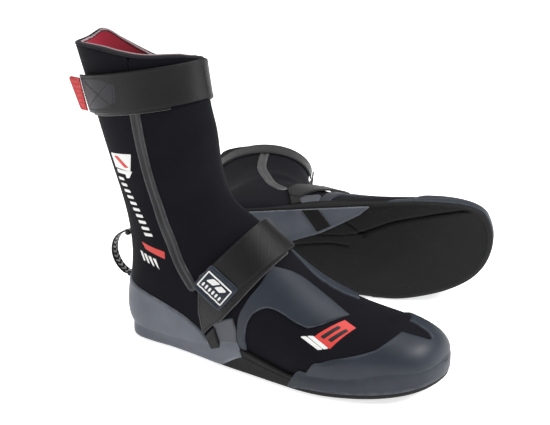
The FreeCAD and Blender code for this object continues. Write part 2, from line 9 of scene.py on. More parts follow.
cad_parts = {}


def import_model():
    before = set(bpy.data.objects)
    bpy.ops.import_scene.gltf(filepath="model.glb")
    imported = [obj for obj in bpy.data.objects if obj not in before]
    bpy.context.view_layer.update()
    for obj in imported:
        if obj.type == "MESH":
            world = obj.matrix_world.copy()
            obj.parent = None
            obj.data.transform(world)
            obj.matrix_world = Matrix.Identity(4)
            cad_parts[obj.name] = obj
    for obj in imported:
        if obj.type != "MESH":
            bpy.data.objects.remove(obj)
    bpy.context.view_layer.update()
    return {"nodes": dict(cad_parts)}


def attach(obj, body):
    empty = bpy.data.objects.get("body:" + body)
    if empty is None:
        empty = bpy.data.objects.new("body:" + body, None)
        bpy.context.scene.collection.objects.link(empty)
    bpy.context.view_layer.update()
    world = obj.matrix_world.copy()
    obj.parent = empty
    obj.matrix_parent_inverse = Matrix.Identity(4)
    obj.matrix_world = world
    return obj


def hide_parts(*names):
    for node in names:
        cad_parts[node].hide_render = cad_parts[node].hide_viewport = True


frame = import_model()

# A pair of neoprene surf boots. Every skin, overlay and strap is cut out of one smooth form, in
# the boot's own millimetres: +X to the toe, +Z up, the lateral side towards -Y. The right boot
# stands there; the left one is its mirror image, laid on its lateral side.

MM = 0.001

# ------------------------------------------------------------------ the boot's form

# under_x, under_z, over_x, over_z, lateral, medial, shift, split, over and under power, forward
STATIONS = np.array([
    (306, 18, 308, 29, 9, 9, 7, 0.50, 2.0, 2.0, 1.0),
    (303, 13, 306, 39, 22, 22, 6, 0.45, 2.0, 2.6, 0.8),
    (285, 10, 297, 51, 37, 35, 3, 0.42, 2.0, 3.5, 0.4),
    (251, 7, 272, 60, 49, 43, 1, 0.38, 2.1, 4.5, 0.1),
    (208, 5, 232, 67, 55, 45, -1, 0.34, 2.1, 4.5, 0.0),
    (160, 5, 190, 82, 51, 41, 0, 0.32, 2.1, 4.5, 0.0),
    (114, 5, 155, 106, 46, 38, 0, 0.34, 2.1, 5.0, 0.0),
    (66, 5, 127, 127, 42, 39, 0, 0.38, 2.1, 5.0, 0.0),
    (16, 5, 105, 139, 40, 39, 0, 0.44, 2.1, 4.5, 0.0),
    (-4, 26, 97, 152, 38, 38, 0, 0.48, 2.0, 2.6, 0.0),
    (-1, 68, 93, 165, 37, 37, 0, 0.50, 2.0, 2.0, 0.0),
    (-6, 113, 90, 180, 35, 35, 0, 0.50, 2.0, 2.0, 0.0),
    (-21, 160, 88, 205, 34, 34, 0, 0.50, 2.0, 2.0, 0.0),
    (-38, 216, 80, 231, 36, 36, 0, 0.50, 2.0, 2.0, 0.0),
    (-60, 290, 72, 284, 36, 36, 0, 0.50, 2.0, 2.0, 0.0),
])
AROUND = 24
TIP_BULGE = 2.0
PER_POLE = 8
COLUMNS = AROUND * PER_POLE
CHUNK = 40000


def blended_rows():
    """The stations and one more section between each two, by Catmull-Rom."""
    rows = []
    last = len(STATIONS) - 1
    for i in range(last):
        b, h = STATIONS[max(i - 1, 0)], STATIONS[i]
        a, f = STATIONS[i + 1], STATIONS[min(i + 2, last)]
        for t in (0.0, 0.5):
            rows.append(0.5 * (2 * h + (a - b) * t + (2 * b - 5 * h + 4 * a - f) * t * t
                               + (3 * h - b - 3 * a + f) * t ** 3))
    rows.append(STATIONS[last])
    return np.array(rows)


def ring_poles(row):
    """The control points round one section, and how each moves per millimetre of growth."""
    ux, uz, ox, oz, lateral, medial, shift, split, over_power, under_power, forward = row
    under, over = np.array([ux, 0, uz]), np.array([ox, 0, oz])
    height = np.linalg.norm(over - under)
    up = (over - under) / height
    angle = np.arange(AROUND) * 2 * np.pi / AROUND
    c, s = np.cos(angle), np.sin(angle)
    c[np.abs(c) < 1e-9] = 0.0
    s[np.abs(s) < 1e-9] = 0.0
    power = np.where(c >= 0, over_power, under_power)
    rise = np.sign(c) * np.abs(c) ** (2 / power)
    side = np.sign(s) * np.abs(s) ** (2 / power)
    reach = np.where(c >= 0, height * (1 - split), height * split)
    half = np.where(s >= 0, lateral, medial)
    across = np.array([0, -1.0, 0])
    base = (under + up * (height * split) + up * (reach * rise)[:, None]
            + across * (half * side)[:, None] + np.array([0, shift, 0]))
    grown = up * rise[:, None] + across * side[:, None] + np.array([forward, 0, 0])
    return base, grown


POLES = np.array([ring_poles(row) for row in blended_rows()])
ROWS = len(POLES)
U_END = ROWS - 3


def along_weights(t):
    """Clamped cubic B-spline weights of every row, for many places along the boot."""
    knots = np.concatenate([[0.0] * 3, np.arange(U_END + 1.0), [U_END] * 3])
    t = np.clip(t, 0, U_END - 1e-9)[:, None]
    weight = ((t >= knots[None, :-1]) & (t < knots[None, 1:])).astype(float)
    for p in range(1, 4):
        left_span, right_span = knots[p:-1] - knots[:-p - 1], knots[p + 1:] - knots[1:-p]
        left = np.divide(t - knots[:-p - 1], left_span, where=left_span > 0,
                         out=np.zeros((len(t), len(left_span))))
        right = np.divide(knots[p + 1:] - t, right_span, where=right_span > 0,
                          out=np.zeros((len(t), len(right_span))))
        weight = left * weight[:, :-1] + right * weight[:, 1:]
    return weight


def around_weights(t):
    d = np.abs((t[:, None] - np.arange(AROUND) + AROUND / 2) % AROUND - AROUND / 2)
    near = (4 - 6 * d ** 2 + 3 * d ** 3) / 6
    far = np.clip(2 - d, 0, None) ** 3 / 6
    return np.where(d < 1, near, far)


def softness(p):
    """Slow unevenness of the soft boot, in millimetres, the same in all of its layers."""
    x, y, z = p[:, 0], p[:, 1], p[:, 2]
    slow = 0.5 * np.sin(x / 31 + y / 23 + 1.3) * np.sin(z / 27 + y / 41 + 0.4)
    leg = np.clip((z - 95) / 40, 0, 1) * np.clip((x - 20) / 50, 0, 1)
    folds = 0.55 * leg * np.sin(z / 7.5 + y / 19 + 0.8 * np.sin(y / 9)) * np.exp(-((z - 138) / 26) ** 2)
    return slow * np.clip((z - 30) / 40, 0, 1) + folds


def surface(u, v, grow):
    """Points of the form at one place along it (u), round it (v) and grown outwards."""
    u, v = np.asarray(u, float), np.asarray(v, float)
    out = np.empty((len(u), 3))
    grow = np.broadcast_to(np.asarray(grow, float), u.shape)
    for start in range(0, len(u), CHUNK):
        part = slice(start, start + CHUNK)
        along, around = along_weights(u[part]), around_weights(v[part])
        base, lift = [np.einsum("nb,nbk->nk", around, (along @ POLES[:, k].reshape(ROWS, -1))
                                .reshape(-1, AROUND, 3)) for k in (0, 1)]
        out[part] = base + lift * (grow[part] + softness(base))[:, None]
    tip = u < 0
    if tip.any():
        middle = POLES[0, 0].mean(0) + np.array([1.0, 0, 0]) * grow[tip][:, None]
        share = 1 + u[tip][:, None]
        out[tip] = middle + (out[tip] - middle) * share
        out[tip, 0] += TIP_BULGE * (1 - share[:, 0] ** 2)
    return out


U_COARSE = np.concatenate([np.linspace(-1, 0, 7)[:-1], np.linspace(0, U_END, 261)])
V_COARSE = np.linspace(0, AROUND, COLUMNS + 1)
GRID_U, GRID_V = [g.ravel() for g in np.meshgrid(U_COARSE, V_COARSE, indexing="ij")]
COARSE = surface(GRID_U, GRID_V, 0.0).reshape(len(U_COARSE), len(V_COARSE), 3)
ROUND_STEP = np.linalg.norm(np.diff(COARSE, axis=1), axis=2)
ARC = np.concatenate([np.zeros((len(U_COARSE), 1)), np.cumsum(ROUND_STEP, axis=1)], axis=1)
SIDE_STEP = np.linalg.norm(np.diff(COARSE[:, COLUMNS // 4], axis=0), axis=1)
LENGTH = np.concatenate([[0.0], np.cumsum(SIDE_STEP)])


def arc_of(u, v):
    """Millimetres round the boot from the ridge, towards the lateral side, and along it."""
    i = np.interp(u, U_COARSE, np.arange(len(U_COARSE)))
    j = v % AROUND * PER_POLE
    i0, j0 = np.minimum(i.astype(int), len(U_COARSE) - 2), np.minimum(j.astype(int), COLUMNS - 1)
    fi, fj = i - i0, j - j0
    top = ARC[i0, j0] * (1 - fj) + ARC[i0, j0 + 1] * fj
    low = ARC[i0 + 1, j0] * (1 - fj) + ARC[i0 + 1, j0 + 1] * fj
    total = ARC[i0, -1] * (1 - fi) + ARC[i0 + 1, -1] * fi
    arc = top * (1 - fi) + low * fi
    arc = np.where(arc > total / 2, arc - total, arc)
    return arc, np.interp(u, U_COARSE, LENGTH)


# ------------------------------------------------------------------ outlines and distances


def smooth(points, per=8):
    """A Catmull-Rom curve through the points."""
    p = np.array(points, float)
    q = np.vstack([2 * p[0] - p[1], p, 2 * p[-1] - p[-2]])
    t = np.linspace(0, 1, per, endpoint=False)[:, None]
    out = [0.5 * (2 * q[i] + (q[i + 1] - q[i - 1]) * t
                  + (2 * q[i - 1] - 5 * q[i] + 4 * q[i + 1] - q[i + 2]) * t ** 2
                  + (3 * q[i] - q[i - 1] - 3 * q[i + 1] + q[i + 2]) * t ** 3)
           for i in range(1, len(q) - 2)]
    return np.vstack(out + [p[-1:]])


def outline(*edges, closing=()):
    """One closed outline from smooth edges end to end, and corners that close it."""
    parts = [smooth(edge)[:-1] if k + 1 < len(edges) or not closing else smooth(edge)
             for k, edge in enumerate(edges)]
    if closing:
        parts.append(np.array(closing, float))
    return np.vstack(parts)


def line_distance(points, line):
    """Distance from an open line."""
    best = np.full(len(points), 1e9)
    x, y = points[:, 0], points[:, 1]
    for (ax, ay), (bx, by) in zip(line[:-1], line[1:]):
        dx, dy = bx - ax, by - ay
        span = dx * dx + dy * dy
        if span < 1e-12:
            continue
        t = np.clip(((x - ax) * dx + (y - ay) * dy) / span, 0, 1)
        best = np.minimum(best, np.hypot(x - ax - t * dx, y - ay - t * dy))
    return best


def inside(points, corners):
    """Distance from the outline, positive inside it."""
    line = np.vstack([corners, corners[:1]]).astype(float)
    crossings = np.zeros(len(points), int)
    x, y = points[:, 0], points[:, 1]
    for (ax, ay), (bx, by) in zip(line[:-1], line[1:]):
        if ay != by:
            crossings += ((ay > y) != (by > y)) & (x < (bx - ax) * (y - ay) / (by - ay) + ax)
    best = line_distance(points, line)
    return np.where(crossings % 2 == 1, best, -best)


def least(*fields):
    """The smallest of several distances: where it is positive, all of them are."""
    return np.minimum.reduce(fields)


def seen_from(p, tilt):
    """The two coordinates of the points seen from the side (0), above (-90) or between."""
    a = math.radians(tilt)
    return np.stack([p[:, 0], p[:, 2] * math.cos(a) - p[:, 1] * math.sin(a)], 1)


def side_of(p):
    return p[:, [0, 2]]


# The collar's top line on each side. The soft collar is pulled up at the medial back and down at
# the medial front, and the lines pass into each other within COLLAR_BLEND of the middle.
COLLAR_LATERAL = smooth([(-90, 266), (-57, 273), (-44, 275), (-27, 276.3), (-8, 276), (10, 274),
                         (35, 272), (60, 272.8), (75, 272), (110, 270)])
COLLAR_MEDIAL = smooth([(-90, 262), (-57, 274), (-44, 282), (-27, 273.2), (-8, 264), (10, 258.5),
                        (35, 260), (60, 264.5), (75, 268), (110, 276)])
COLLAR_BLEND = 14.0


def below_collar(p, drop=0.0):
    """Distance below the collar's line, scaled for the line's slope."""
    lateral = np.interp(p[:, 0], COLLAR_LATERAL[:, 0], COLLAR_LATERAL[:, 1])
    medial = np.interp(p[:, 0], COLLAR_MEDIAL[:, 0], COLLAR_MEDIAL[:, 1])
    share = np.clip((p[:, 1] + COLLAR_BLEND) / (2 * COLLAR_BLEND), 0, 1)
    return (lateral + (medial - lateral) * share - drop - p[:, 2]) * 0.95


def rim_height(x):
    """The top of the sole's rim along the boot."""
    line = smooth([(-40, 8), (60, 8), (95, 11), (118, 20), (140, 23), (165, 18), (200, 13),
                   (245, 17), (280, 27), (330, 33)])
    return np.interp(x, line[:, 0], line[:, 1])


def above_rim(p):
    return p[:, 2] - rim_height(p[:, 0])


# ------------------------------------------------------------------ meshes cut from the form


WINDOW_MARGIN = 4.0


def rounding(f, radius):
    """0 at the edge of a sheet to 1 at radius from it, along a quarter circle."""
    t = np.clip(f / radius, 0, 1)
    return np.sqrt(np.clip(1 - (1 - t) ** 2, 0, 1))


def window(field_grid):
    """The rows and columns that a piece reaches, with the columns in one run."""
    live = field_grid > -WINDOW_MARGIN
    rows = np.flatnonzero(live.any(1))
    r0, r1 = max(rows[0] - 1, 0), min(rows[-1] + 1, len(U_COARSE) - 1)
    cols = live[:, :-1].any(0)
    if cols.all():
        return r0, r1, COLUMNS // 2, COLUMNS // 2 + COLUMNS, True
    runs = []
    start = None
    for k in range(2 * COLUMNS):
        if cols[k % COLUMNS] and start is None:
            start = k
        if not cols[k % COLUMNS] and start is not None:
            runs.append((k - start, start, k))
            start = None
    _, c0, c1 = max(runs)
    return r0, r1, c0 - 1, c1 + 1, False


class Piece:
    """A mesh in boot millimetres, with its distance from the edge and texture coordinates.

    seams are the lines, each with its normals, where stitches run.
    """

    def __init__(self, name, verts, faces, edge=None, flat=None, seams=()):
        self.name, self.verts, self.faces, self.seams = name, np.asarray(verts, float), faces, seams
        self.edge = np.full(len(verts), 9.0) if edge is None else edge
        self.flat = np.zeros((len(verts), 2)) if flat is None else flat


def skin_cloth(p, u, v):
    """Texture coordinates round the boot and along it."""
    return np.stack(arc_of(u, v), 1)


def layer(name, place, u_span, v_span, counts, field, low, high, drop=None, radius=0.8,
          low_drop=0.0, marks=(), relief=None, texture=None, closed=False):
    """A sheet cut where field is positive, between growths low and high of place(u, v, grow).

    Its outer edge is rounded over radius and falls by drop, and low_drop lifts its inner edge.
    marks are distances from the edge where lines of stitches run, and relief adds to the top.
    """
    drop = high - low if drop is None else drop
    (u0, u1), (v0, v1), (nu, nv) = u_span, v_span, counts
    i, j = [g.ravel() for g in np.meshgrid(np.arange(nu + 1), np.arange(nv + 1), indexing="ij")]
    f = field(place(u0 + (u1 - u0) * i / nu, v0 + (v1 - v0) * j / nv, 0.0))
    live = f.reshape(nu + 1, nv + 1)
    keep = np.maximum.reduce([live[:-1, :-1], live[1:, :-1], live[1:, 1:], live[:-1, 1:]]) > 0
    qi, qj = np.nonzero(keep)
    quads = np.stack([qi * (nv + 1) + qj, (qi + 1) * (nv + 1) + qj,
                      (qi + 1) * (nv + 1) + qj + 1, qi * (nv + 1) + qj + 1], 1)
    used, quads = np.unique(quads, return_inverse=True)
    mesh = bpy.data.meshes.new("cut")
    flat_points = np.stack([i[used] * 1.0, j[used] * 1.0, np.clip(f[used], -30, 30)], 1)
    mesh.from_pydata(flat_points.tolist(), [], quads.reshape(-1, 4).tolist())
    bm = bmesh.new()
    bm.from_mesh(mesh)
    bpy.data.meshes.remove(mesh)

    def slice_at(level, clear=False):
        return bmesh.ops.bisect_plane(
            bm, geom=bm.verts[:] + bm.edges[:] + bm.faces[:], dist=1e-4,
            plane_co=(0, 0, level), plane_no=(0, 0, 1), clear_inner=clear)["geom_cut"]

    slice_at(0.0, True)
    for share in (0.1, 0.35, 1.0):
        slice_at(share * radius)

    def spots(points):
        return u0 + (u1 - u0) * points[:, 0] / nu, v0 + (v1 - v0) * points[:, 1] / nv

    lines = []
    for mark in marks:
        for chain in chain_edges([e for e in slice_at(mark) if isinstance(e, bmesh.types.BMEdge)]):
            cu, cv = spots(np.array(chain))
            points = place(cu, cv, high + 0.05)
            lines.append((points, place(cu, cv, high + 1.05) - points))
    bmesh.ops.delete(bm, geom=[x for x in bm.verts if not x.link_faces], context="VERTS")
    bm.verts.index_update()
    co = np.array([x.co for x in bm.verts])
    faces = [[x.index for x in face.verts] for face in bm.faces]
    borders = [(c.vert.index, c.link_loop_next.vert.index)
               for face in bm.faces for c in face.loops if c.edge.is_boundary]
    bm.free()
    cu, cv = spots(co)
    fall = 1 - rounding(co[:, 2], radius)
    top_grow = high - drop * fall
    if relief is not None:
        top_grow = top_grow + relief(place(cu, cv, 0.0)) * (1 - fall)
    top = place(cu, cv, top_grow)
    bottom = place(cu, cv, np.minimum(low + low_drop * fall, top_grow - 0.02))
    count = len(co)
    ends = np.zeros(count, bool)
    if closed:
        on_seam = (np.abs(co[:, 1]) < 1e-6) | (np.abs(co[:, 1] - nv) < 1e-6)
        borders = [(a, b) for a, b in borders if not (on_seam[a] and on_seam[b])]
        ends = np.abs(cu - U_COARSE[0]) < 1e-6
    borders = [(a, b) for a, b in borders if not (ends[a] and ends[b])]
    walls = [[b, a, a + count, b + count] for a, b in borders]
    under = [[x + count for x in reversed(face)] for face in faces]
    flat = (texture or skin_cloth)(place(cu, cv, 0.0), cu, cv)
    return Piece(name, np.vstack([top, bottom]), faces + under + walls,
                 np.concatenate([co[:, 2]] * 2), np.vstack([flat, flat]), lines)


def skin(name, field, low, high, step=1.6, **more):
    """A layer of the boot itself, over as much of the form as the field reaches."""
    coarse_field = field(COARSE.reshape(-1, 3)).reshape(COARSE.shape[:2])
    r0, r1, c0, c1, closed = window(coarse_field)
    columns = {(c0 + (c1 - c0) * k // 4) % COLUMNS for k in range(5)}
    longest = max(np.linalg.norm(np.diff(COARSE[r0:r1 + 1, k], axis=0), axis=1).sum() for k in columns)
    widest = ROUND_STEP[r0:r1 + 1].mean(1).max() * (c1 - c0)
    counts = max(int(longest / step), 4), max(int(widest / step), 4)
    return layer(name, surface, (U_COARSE[r0], U_COARSE[r1]), (c0 / PER_POLE, c1 / PER_POLE), counts,
                 field, low, high, closed=closed, **more)


def quad_strip(rings, n, first=0, around=True):
    """Faces between rings of n points each, closed round each ring when around is true."""
    span = range(n if around else n - 1)
    return [[first + i * n + k, first + i * n + (k + 1) % n, first + (i + 1) * n + (k + 1) % n,
             first + (i + 1) * n + k] for i in range(rings - 1) for k in span]


def chain_edges(edges):
    """Edges joined end to end into lines of coordinates."""
    nearby, where = {}, {}
    for e in edges:
        a, b = e.verts
        ka, kb = tuple(round(c, 4) for c in a.co[:2]), tuple(round(c, 4) for c in b.co[:2])
        where[ka], where[kb] = tuple(a.co), tuple(b.co)
        nearby.setdefault(ka, []).append(kb)
        nearby.setdefault(kb, []).append(ka)
    lines, seen = [], set()
    starts = [k for k in nearby if len(nearby[k]) == 1] + list(nearby)
    for start in starts:
        if start in seen:
            continue
        line, here = [start], start
        seen.add(start)
        while True:
            step = [k for k in nearby[here] if k not in seen]
            if not step:
                break
            here = step[0]
            seen.add(here)
            line.append(here)
        if len(line) > 2:
            if line[0] in nearby[line[-1]]:
                line.append(line[0])
            lines.append([where[k] for k in line])
    return lines


# ------------------------------------------------------------------ placing pieces on both boots


def turn(axis, degrees):
    return np.array(Matrix.Rotation(math.radians(degrees), 3, axis))


PAIR_X = -40.0
LEFT_MOVE = np.array([-3.0, 101.0, 45.6])
LEFT_TURN = turn("Z", 14.5) @ turn("Y", -3.49) @ turn("X", -91.15)


def to_row(points, side):
    """Boot millimetres to metres in the row frame."""
    points = np.asarray(points, float)
    if side == "left":
        points = (points * [1, -1, 1]) @ LEFT_TURN.T + LEFT_MOVE
    return (points + [PAIR_X, 0, 0]) * MM


def make_object(name, piece, side, material, sharp=42.0, recalc=False):
    """One Blender object from a piece, on one of the boots."""
    mesh = bpy.data.meshes.new(name)
    faces = piece.faces if side == "right" else [f[::-1] for f in piece.faces]
    mesh.from_pydata(to_row(piece.verts, side).tolist(), [], faces)
    corner = np.empty(len(mesh.loops), np.int32)
    mesh.loops.foreach_get("vertex_index", corner)
    uv = mesh.uv_layers.new(name="flat")
    uv.data.foreach_set("uv", piece.flat[corner].astype(np.float32).ravel())
    edge = mesh.attributes.new("edge", "FLOAT", "POINT")
    edge.data.foreach_set("value", piece.edge.astype(np.float32))
    bm = bmesh.new()
    bm.from_mesh(mesh)
    bmesh.ops.remove_doubles(bm, verts=bm.verts, dist=4e-6)
    bmesh.ops.dissolve_degenerate(bm, edges=bm.edges, dist=1e-7)
    if recalc:
        bmesh.ops.recalc_face_normals(bm, faces=bm.faces)
    bm.to_mesh(mesh)
    bm.free()
    mesh.polygons.foreach_set("use_smooth", [True] * len(mesh.polygons))
    mesh.set_sharp_from_angle(angle=math.radians(sharp))
    mesh.materials.append(material)
    obj = bpy.data.objects.new(name, mesh)
    bpy.context.scene.collection.objects.link(obj)
    return obj


def both(piece, material, slot, body="boot", **more):
    """The piece on the right boot and on the left, in place of any CAD nodes of its own name."""
    made = []
    for side in ("right", "left"):
        node = f"{side}_{piece.name}"
        obj = make_object(f"{node}_skin", piece, side, material, **more)
        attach(obj, f"{side}_{body}")
        if node in frame["nodes"]:
            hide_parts(node)
        made.append(obj)
    return made


def spaced(line, normals, pitch, closed=False):
    """Places at equal steps along a line, each with its direction and its normal."""
    step = np.linalg.norm(np.diff(line, axis=0), axis=1)
    where = np.concatenate([[0], np.cumsum(step)])
    total = where[-1]
    if total < 2 * pitch:
        return []
    at = np.arange(pitch / 2, total - pitch / 4, total / round(total / pitch))

    def values_at(spots, values):
        return np.stack([np.interp(spots, where, values[:, k]) for k in range(3)], 1)

    direction = values_at(np.minimum(at + 0.8, total), line) - values_at(np.maximum(at - 0.8, 0), line)
    return list(zip(values_at(at, line), direction, values_at(at, normals)))


def stitches(name, lines, pitch=2.8, length=2.1, radius=0.34):
    """One mesh of thread stitches along lines that lie on a surface."""
    verts, faces = [], []
    sides = 6
    profile = ((-0.5, 0.25), (-0.32, 0.9), (0, 1.0), (0.32, 0.9), (0.5, 0.25))
    for line, normals in lines:
        for centre, direction, normal in spaced(line, normals, pitch):
            t = direction / (np.linalg.norm(direction) + 1e-9)
            n = normal - t * (normal @ t)
            n /= np.linalg.norm(n) + 1e-9
            b = np.cross(t, n)
            base = len(verts)
            for share, r in profile:
                sink = -0.25 * radius if abs(share) == 0.5 else 0.1 * radius
                for a in np.arange(sides) * math.pi / 3:
                    verts.append(centre + t * share * length + b * math.cos(a) * r * radius
                                 + n * (math.sin(a) * r * radius * 0.75 + sink))
            last = len(verts) - sides
            faces += quad_strip(len(profile), sides, base)
            faces += [[base + k for k in reversed(range(sides))], [last + k for k in range(sides)]]
    return Piece(name, np.array(verts), faces)


def sew(name, lines, body="boot", thread=None, slot="webbing", **size):
    """Stitches along the lines, on both boots, in dark thread unless one is given."""
    both(stitches(name, lines, **size), thread or THREAD_DARK, slot, body, sharp=60)


# ------------------------------------------------------------------ materials


class Paint:
    """A small help for writing one node material."""

    def __init__(self, name):
        self.material = bpy.data.materials.new(name)
        self.material.use_nodes = True
        self.tree = self.material.node_tree
        self.tree.nodes.clear()
        self.out = self.node("ShaderNodeOutputMaterial")
        self.shader = self.node("ShaderNodeBsdfPrincipled")
        self.link(self.shader.outputs[0], self.out.inputs[0])

    def node(self, kind, **values):
        node = self.tree.nodes.new(kind)
        for key, value in values.items():
            setattr(node, key, value)
        return node

    def link(self, a, b):
        self.tree.links.new(a, b)

    def put(self, socket, value):
        if isinstance(value, bpy.types.NodeSocket):
            self.link(value, socket)
        elif isinstance(value, tuple) and len(value) == 3 and socket.type == "RGBA":
            socket.default_value = (*value, 1.0)
        else:
            socket.default_value = value

    def set(self, **values):
        for key, value in values.items():
            self.put(self.shader.inputs[key.replace("_", " ")], value)

    def math(self, operation, a, b=0.0, c=0.0, clamp=False):
        node = self.node("ShaderNodeMath", operation=operation, use_clamp=clamp)
        for socket, value in zip(node.inputs, (a, b, c)):
            self.put(socket, value)
        return node.outputs[0]

    def add(self, a, b, clamp=False):
        return self.math("ADD", a, b, clamp=clamp)

    def times(self, a, b, clamp=False):
        return self.math("MULTIPLY", a, b, clamp=clamp)

    def object_place(self):
        """Object coordinates in millimetres."""
        coordinates = self.node("ShaderNodeTexCoord").outputs["Object"]
        node = self.node("ShaderNodeVectorMath", operation="SCALE")
        self.link(coordinates, node.inputs[0])
        node.inputs["Scale"].default_value = 1 / MM
        return node.outputs[0]

    def cloth(self):
        """The two texture coordinates of a piece, in millimetres."""
        node = self.node("ShaderNodeSeparateXYZ")
        self.link(self.node("ShaderNodeUVMap", uv_map="flat").outputs[0], node.inputs[0])
        return node.outputs[0], node.outputs[1]

    def texture(self, kind, output, vector, **values):
        node = self.node("ShaderNodeTex" + kind)
        self.link(vector, node.inputs["Vector"])
        for key, value in values.items():
            node.inputs[key].default_value = value
        return node.outputs[output]

    def noise(self, vector, scale, detail=2.0, rough=0.5):
        return self.texture("Noise", "Fac", vector, Scale=scale, Detail=detail, Roughness=rough)

    def wave(self, value, period):
        """A sine of a length, from -1 to 1."""
        return self.math("SINE", self.times(value, 2 * math.pi / period))

    def mix(self, share, a, b):
        node = self.node("ShaderNodeMix", data_type="RGBA")
        self.put(node.inputs[0], share)
        self.put(node.inputs[6], a)
        self.put(node.inputs[7], b)
        return node.outputs[2]

    def ramp(self, value, low, high):
        """0 at low to 1 at high."""
        node = self.node("ShaderNodeMapRange")
        node.inputs["From Min"].default_value = low
        node.inputs["From Max"].default_value = high
        self.put(node.inputs["Value"], value)
        return node.outputs[0]

    def edge(self):
        return self.node("ShaderNodeAttribute", attribute_name="edge").outputs["Fac"]

    def bump(self, height, distance, strength=1.0, after=None):
        node = self.node("ShaderNodeBump")
        node.inputs["Distance"].default_value = distance * MM
        node.inputs["Strength"].default_value = strength
        self.put(node.inputs["Height"], height)
        if after is not None:
            self.link(after, node.inputs["Normal"])
        return node.outputs[0]

    def done(self, colour, normal, **values):
        self.set(Base_Color=colour, Normal=normal, **values)
        return self.material


def knit(name, dark, light, fuzz=0.3, scale=0.9):
    """Jersey over foam: fine ribs, slow colour change and a soft sheen."""
    p = Paint(name)
    place, (along, across) = p.object_place(), p.cloth()
    rib = p.times(p.wave(along, scale), p.wave(across, scale * 1.3))
    grain, slow = p.noise(place, 1.6, 3.0, 0.6), p.noise(place, 0.035, 3.0)
    share = p.add(p.times(grain, 0.55), p.times(slow, 0.6), clamp=True)
    return p.done(p.mix(share, dark, light), p.bump(p.add(p.times(rib, 0.5), grain), 0.16, 0.6),
                  Roughness=0.78, Sheen_Weight=fuzz, Sheen_Roughness=0.45, Specular_IOR_Level=0.07)


def rubber(name, dark, light, worn, rough=0.46, grain=0.05):
    """Moulded rubber: satin, faintly grained, paler and rubbed along its edges."""
    p = Paint(name)
    place = p.object_place()
    slow, fine = p.noise(place, 0.03, 4.0, 0.55), p.noise(place, 1.4, 3.0, 0.7)
    rub = p.times(p.ramp(p.edge(), 1.6, 0.2), p.ramp(p.noise(place, 0.12, 3.0), 0.35, 0.75), clamp=True)
    base = p.mix(p.ramp(slow, 0.3, 0.7), dark, light)
    return p.done(p.mix(p.times(rub, 0.8), base, worn), p.bump(fine, grain, 0.8, p.bump(slow, 0.6, 0.25)),
                  Roughness=p.add(rough - 0.1, p.times(fine, 0.22)), Specular_IOR_Level=0.3)


def pebbled(name, dark, light):
    """Sole rubber with a fine pebble grain that scuffs paler on its high spots."""
    p = Paint(name)
    place = p.object_place()
    cell = p.texture("Voronoi", "Distance", place, Scale=0.62)
    fine = p.noise(place, 2.2, 3.0, 0.7)
    scuff = p.times(p.ramp(cell, 0.5, 0.1), p.ramp(p.noise(place, 0.05, 4.0), 0.35, 0.7), clamp=True)
    share = p.add(p.times(scuff, 0.6), p.times(fine, 0.35), clamp=True)
    height = p.add(p.times(p.ramp(cell, 0.6, 0.0), 0.8), p.times(fine, 0.4))
    return p.done(p.mix(share, dark, light), p.bump(height, 0.34, 0.75),
                  Roughness=p.add(0.55, p.times(fine, 0.2)), Specular_IOR_Level=0.22)


def webbing(name, dark, light, thread=1.1, sheen=0.08):
    """Woven strap: a twill of fine threads, with a selvedge along each edge."""
    p = Paint(name)
    along, across = p.cloth()
    weft = p.wave(p.add(along, p.times(across, 0.5)), thread * 1.4)
    weave = p.add(p.times(p.times(p.wave(across, thread), weft), 0.5), 0.5)
    selvedge = p.times(p.ramp(p.edge(), 3.2, 2.4), 0.5, clamp=True)
    slow = p.noise(p.object_place(), 0.05, 4.0, 0.6)
    share = p.add(p.times(weave, 0.45), p.times(slow, 0.5), clamp=True)
    share = p.add(share, p.times(selvedge, 0.35), clamp=True)
    return p.done(p.mix(share, dark, light), p.bump(weave, 0.22, 0.7), Roughness=0.42,
                  Sheen_Weight=sheen, Sheen_Roughness=0.35, Specular_IOR_Level=0.22)


def fleece(name, dark, light, scale=0.8):
    """Brushed pile: curly, matt and soft at its outline."""
    p = Paint(name)
    place = p.object_place()
    curl, slow = p.noise(place, scale, 5.0, 0.75), p.noise(place, 0.06, 3.0)
    share = p.add(p.times(curl, 0.7), p.times(slow, 0.35), clamp=True)
    return p.done(p.mix(share, dark, light), p.bump(curl, 0.6, 0.8), Roughness=0.9,
                  Sheen_Weight=0.5, Sheen_Roughness=0.5, Specular_IOR_Level=0.15)


def plain(name, colour, rough=0.5, second=None, grain=0.06):
    """Printed ink, thread or moulded plastic, with a little grain."""
    p = Paint(name)
    fine = p.noise(p.object_place(), 1.8, 3.0, 0.7)
    return p.done(p.mix(fine, colour, second or tuple(c * 0.8 for c in colour)), p.bump(fine, grain, 0.6),
                  Roughness=rough, Specular_IOR_Level=0.35)


def printed_webbing(name):
    """Black webbing with a woven row of pale dashes."""
    p = Paint(name)
    along, across = p.cloth()
    weave = p.times(p.wave(across, 0.9), p.wave(along, 1.3))
    base = p.mix(p.ramp(weave, -1.0, 1.0), (0.006, 0.006, 0.007), (0.025, 0.025, 0.027))
    off_middle = p.math("ABSOLUTE", across)
    dash = p.math("GREATER_THAN", p.wave(p.add(along, p.times(off_middle, 0.8)), 5.2), 0.1)
    printed = p.times(dash, p.math("LESS_THAN", off_middle, 3.1))
    return p.done(p.mix(printed, base, (0.62, 0.62, 0.6)), p.bump(weave, 0.22, 0.7),
                  Roughness=0.5, Specular_IOR_Level=0.2)


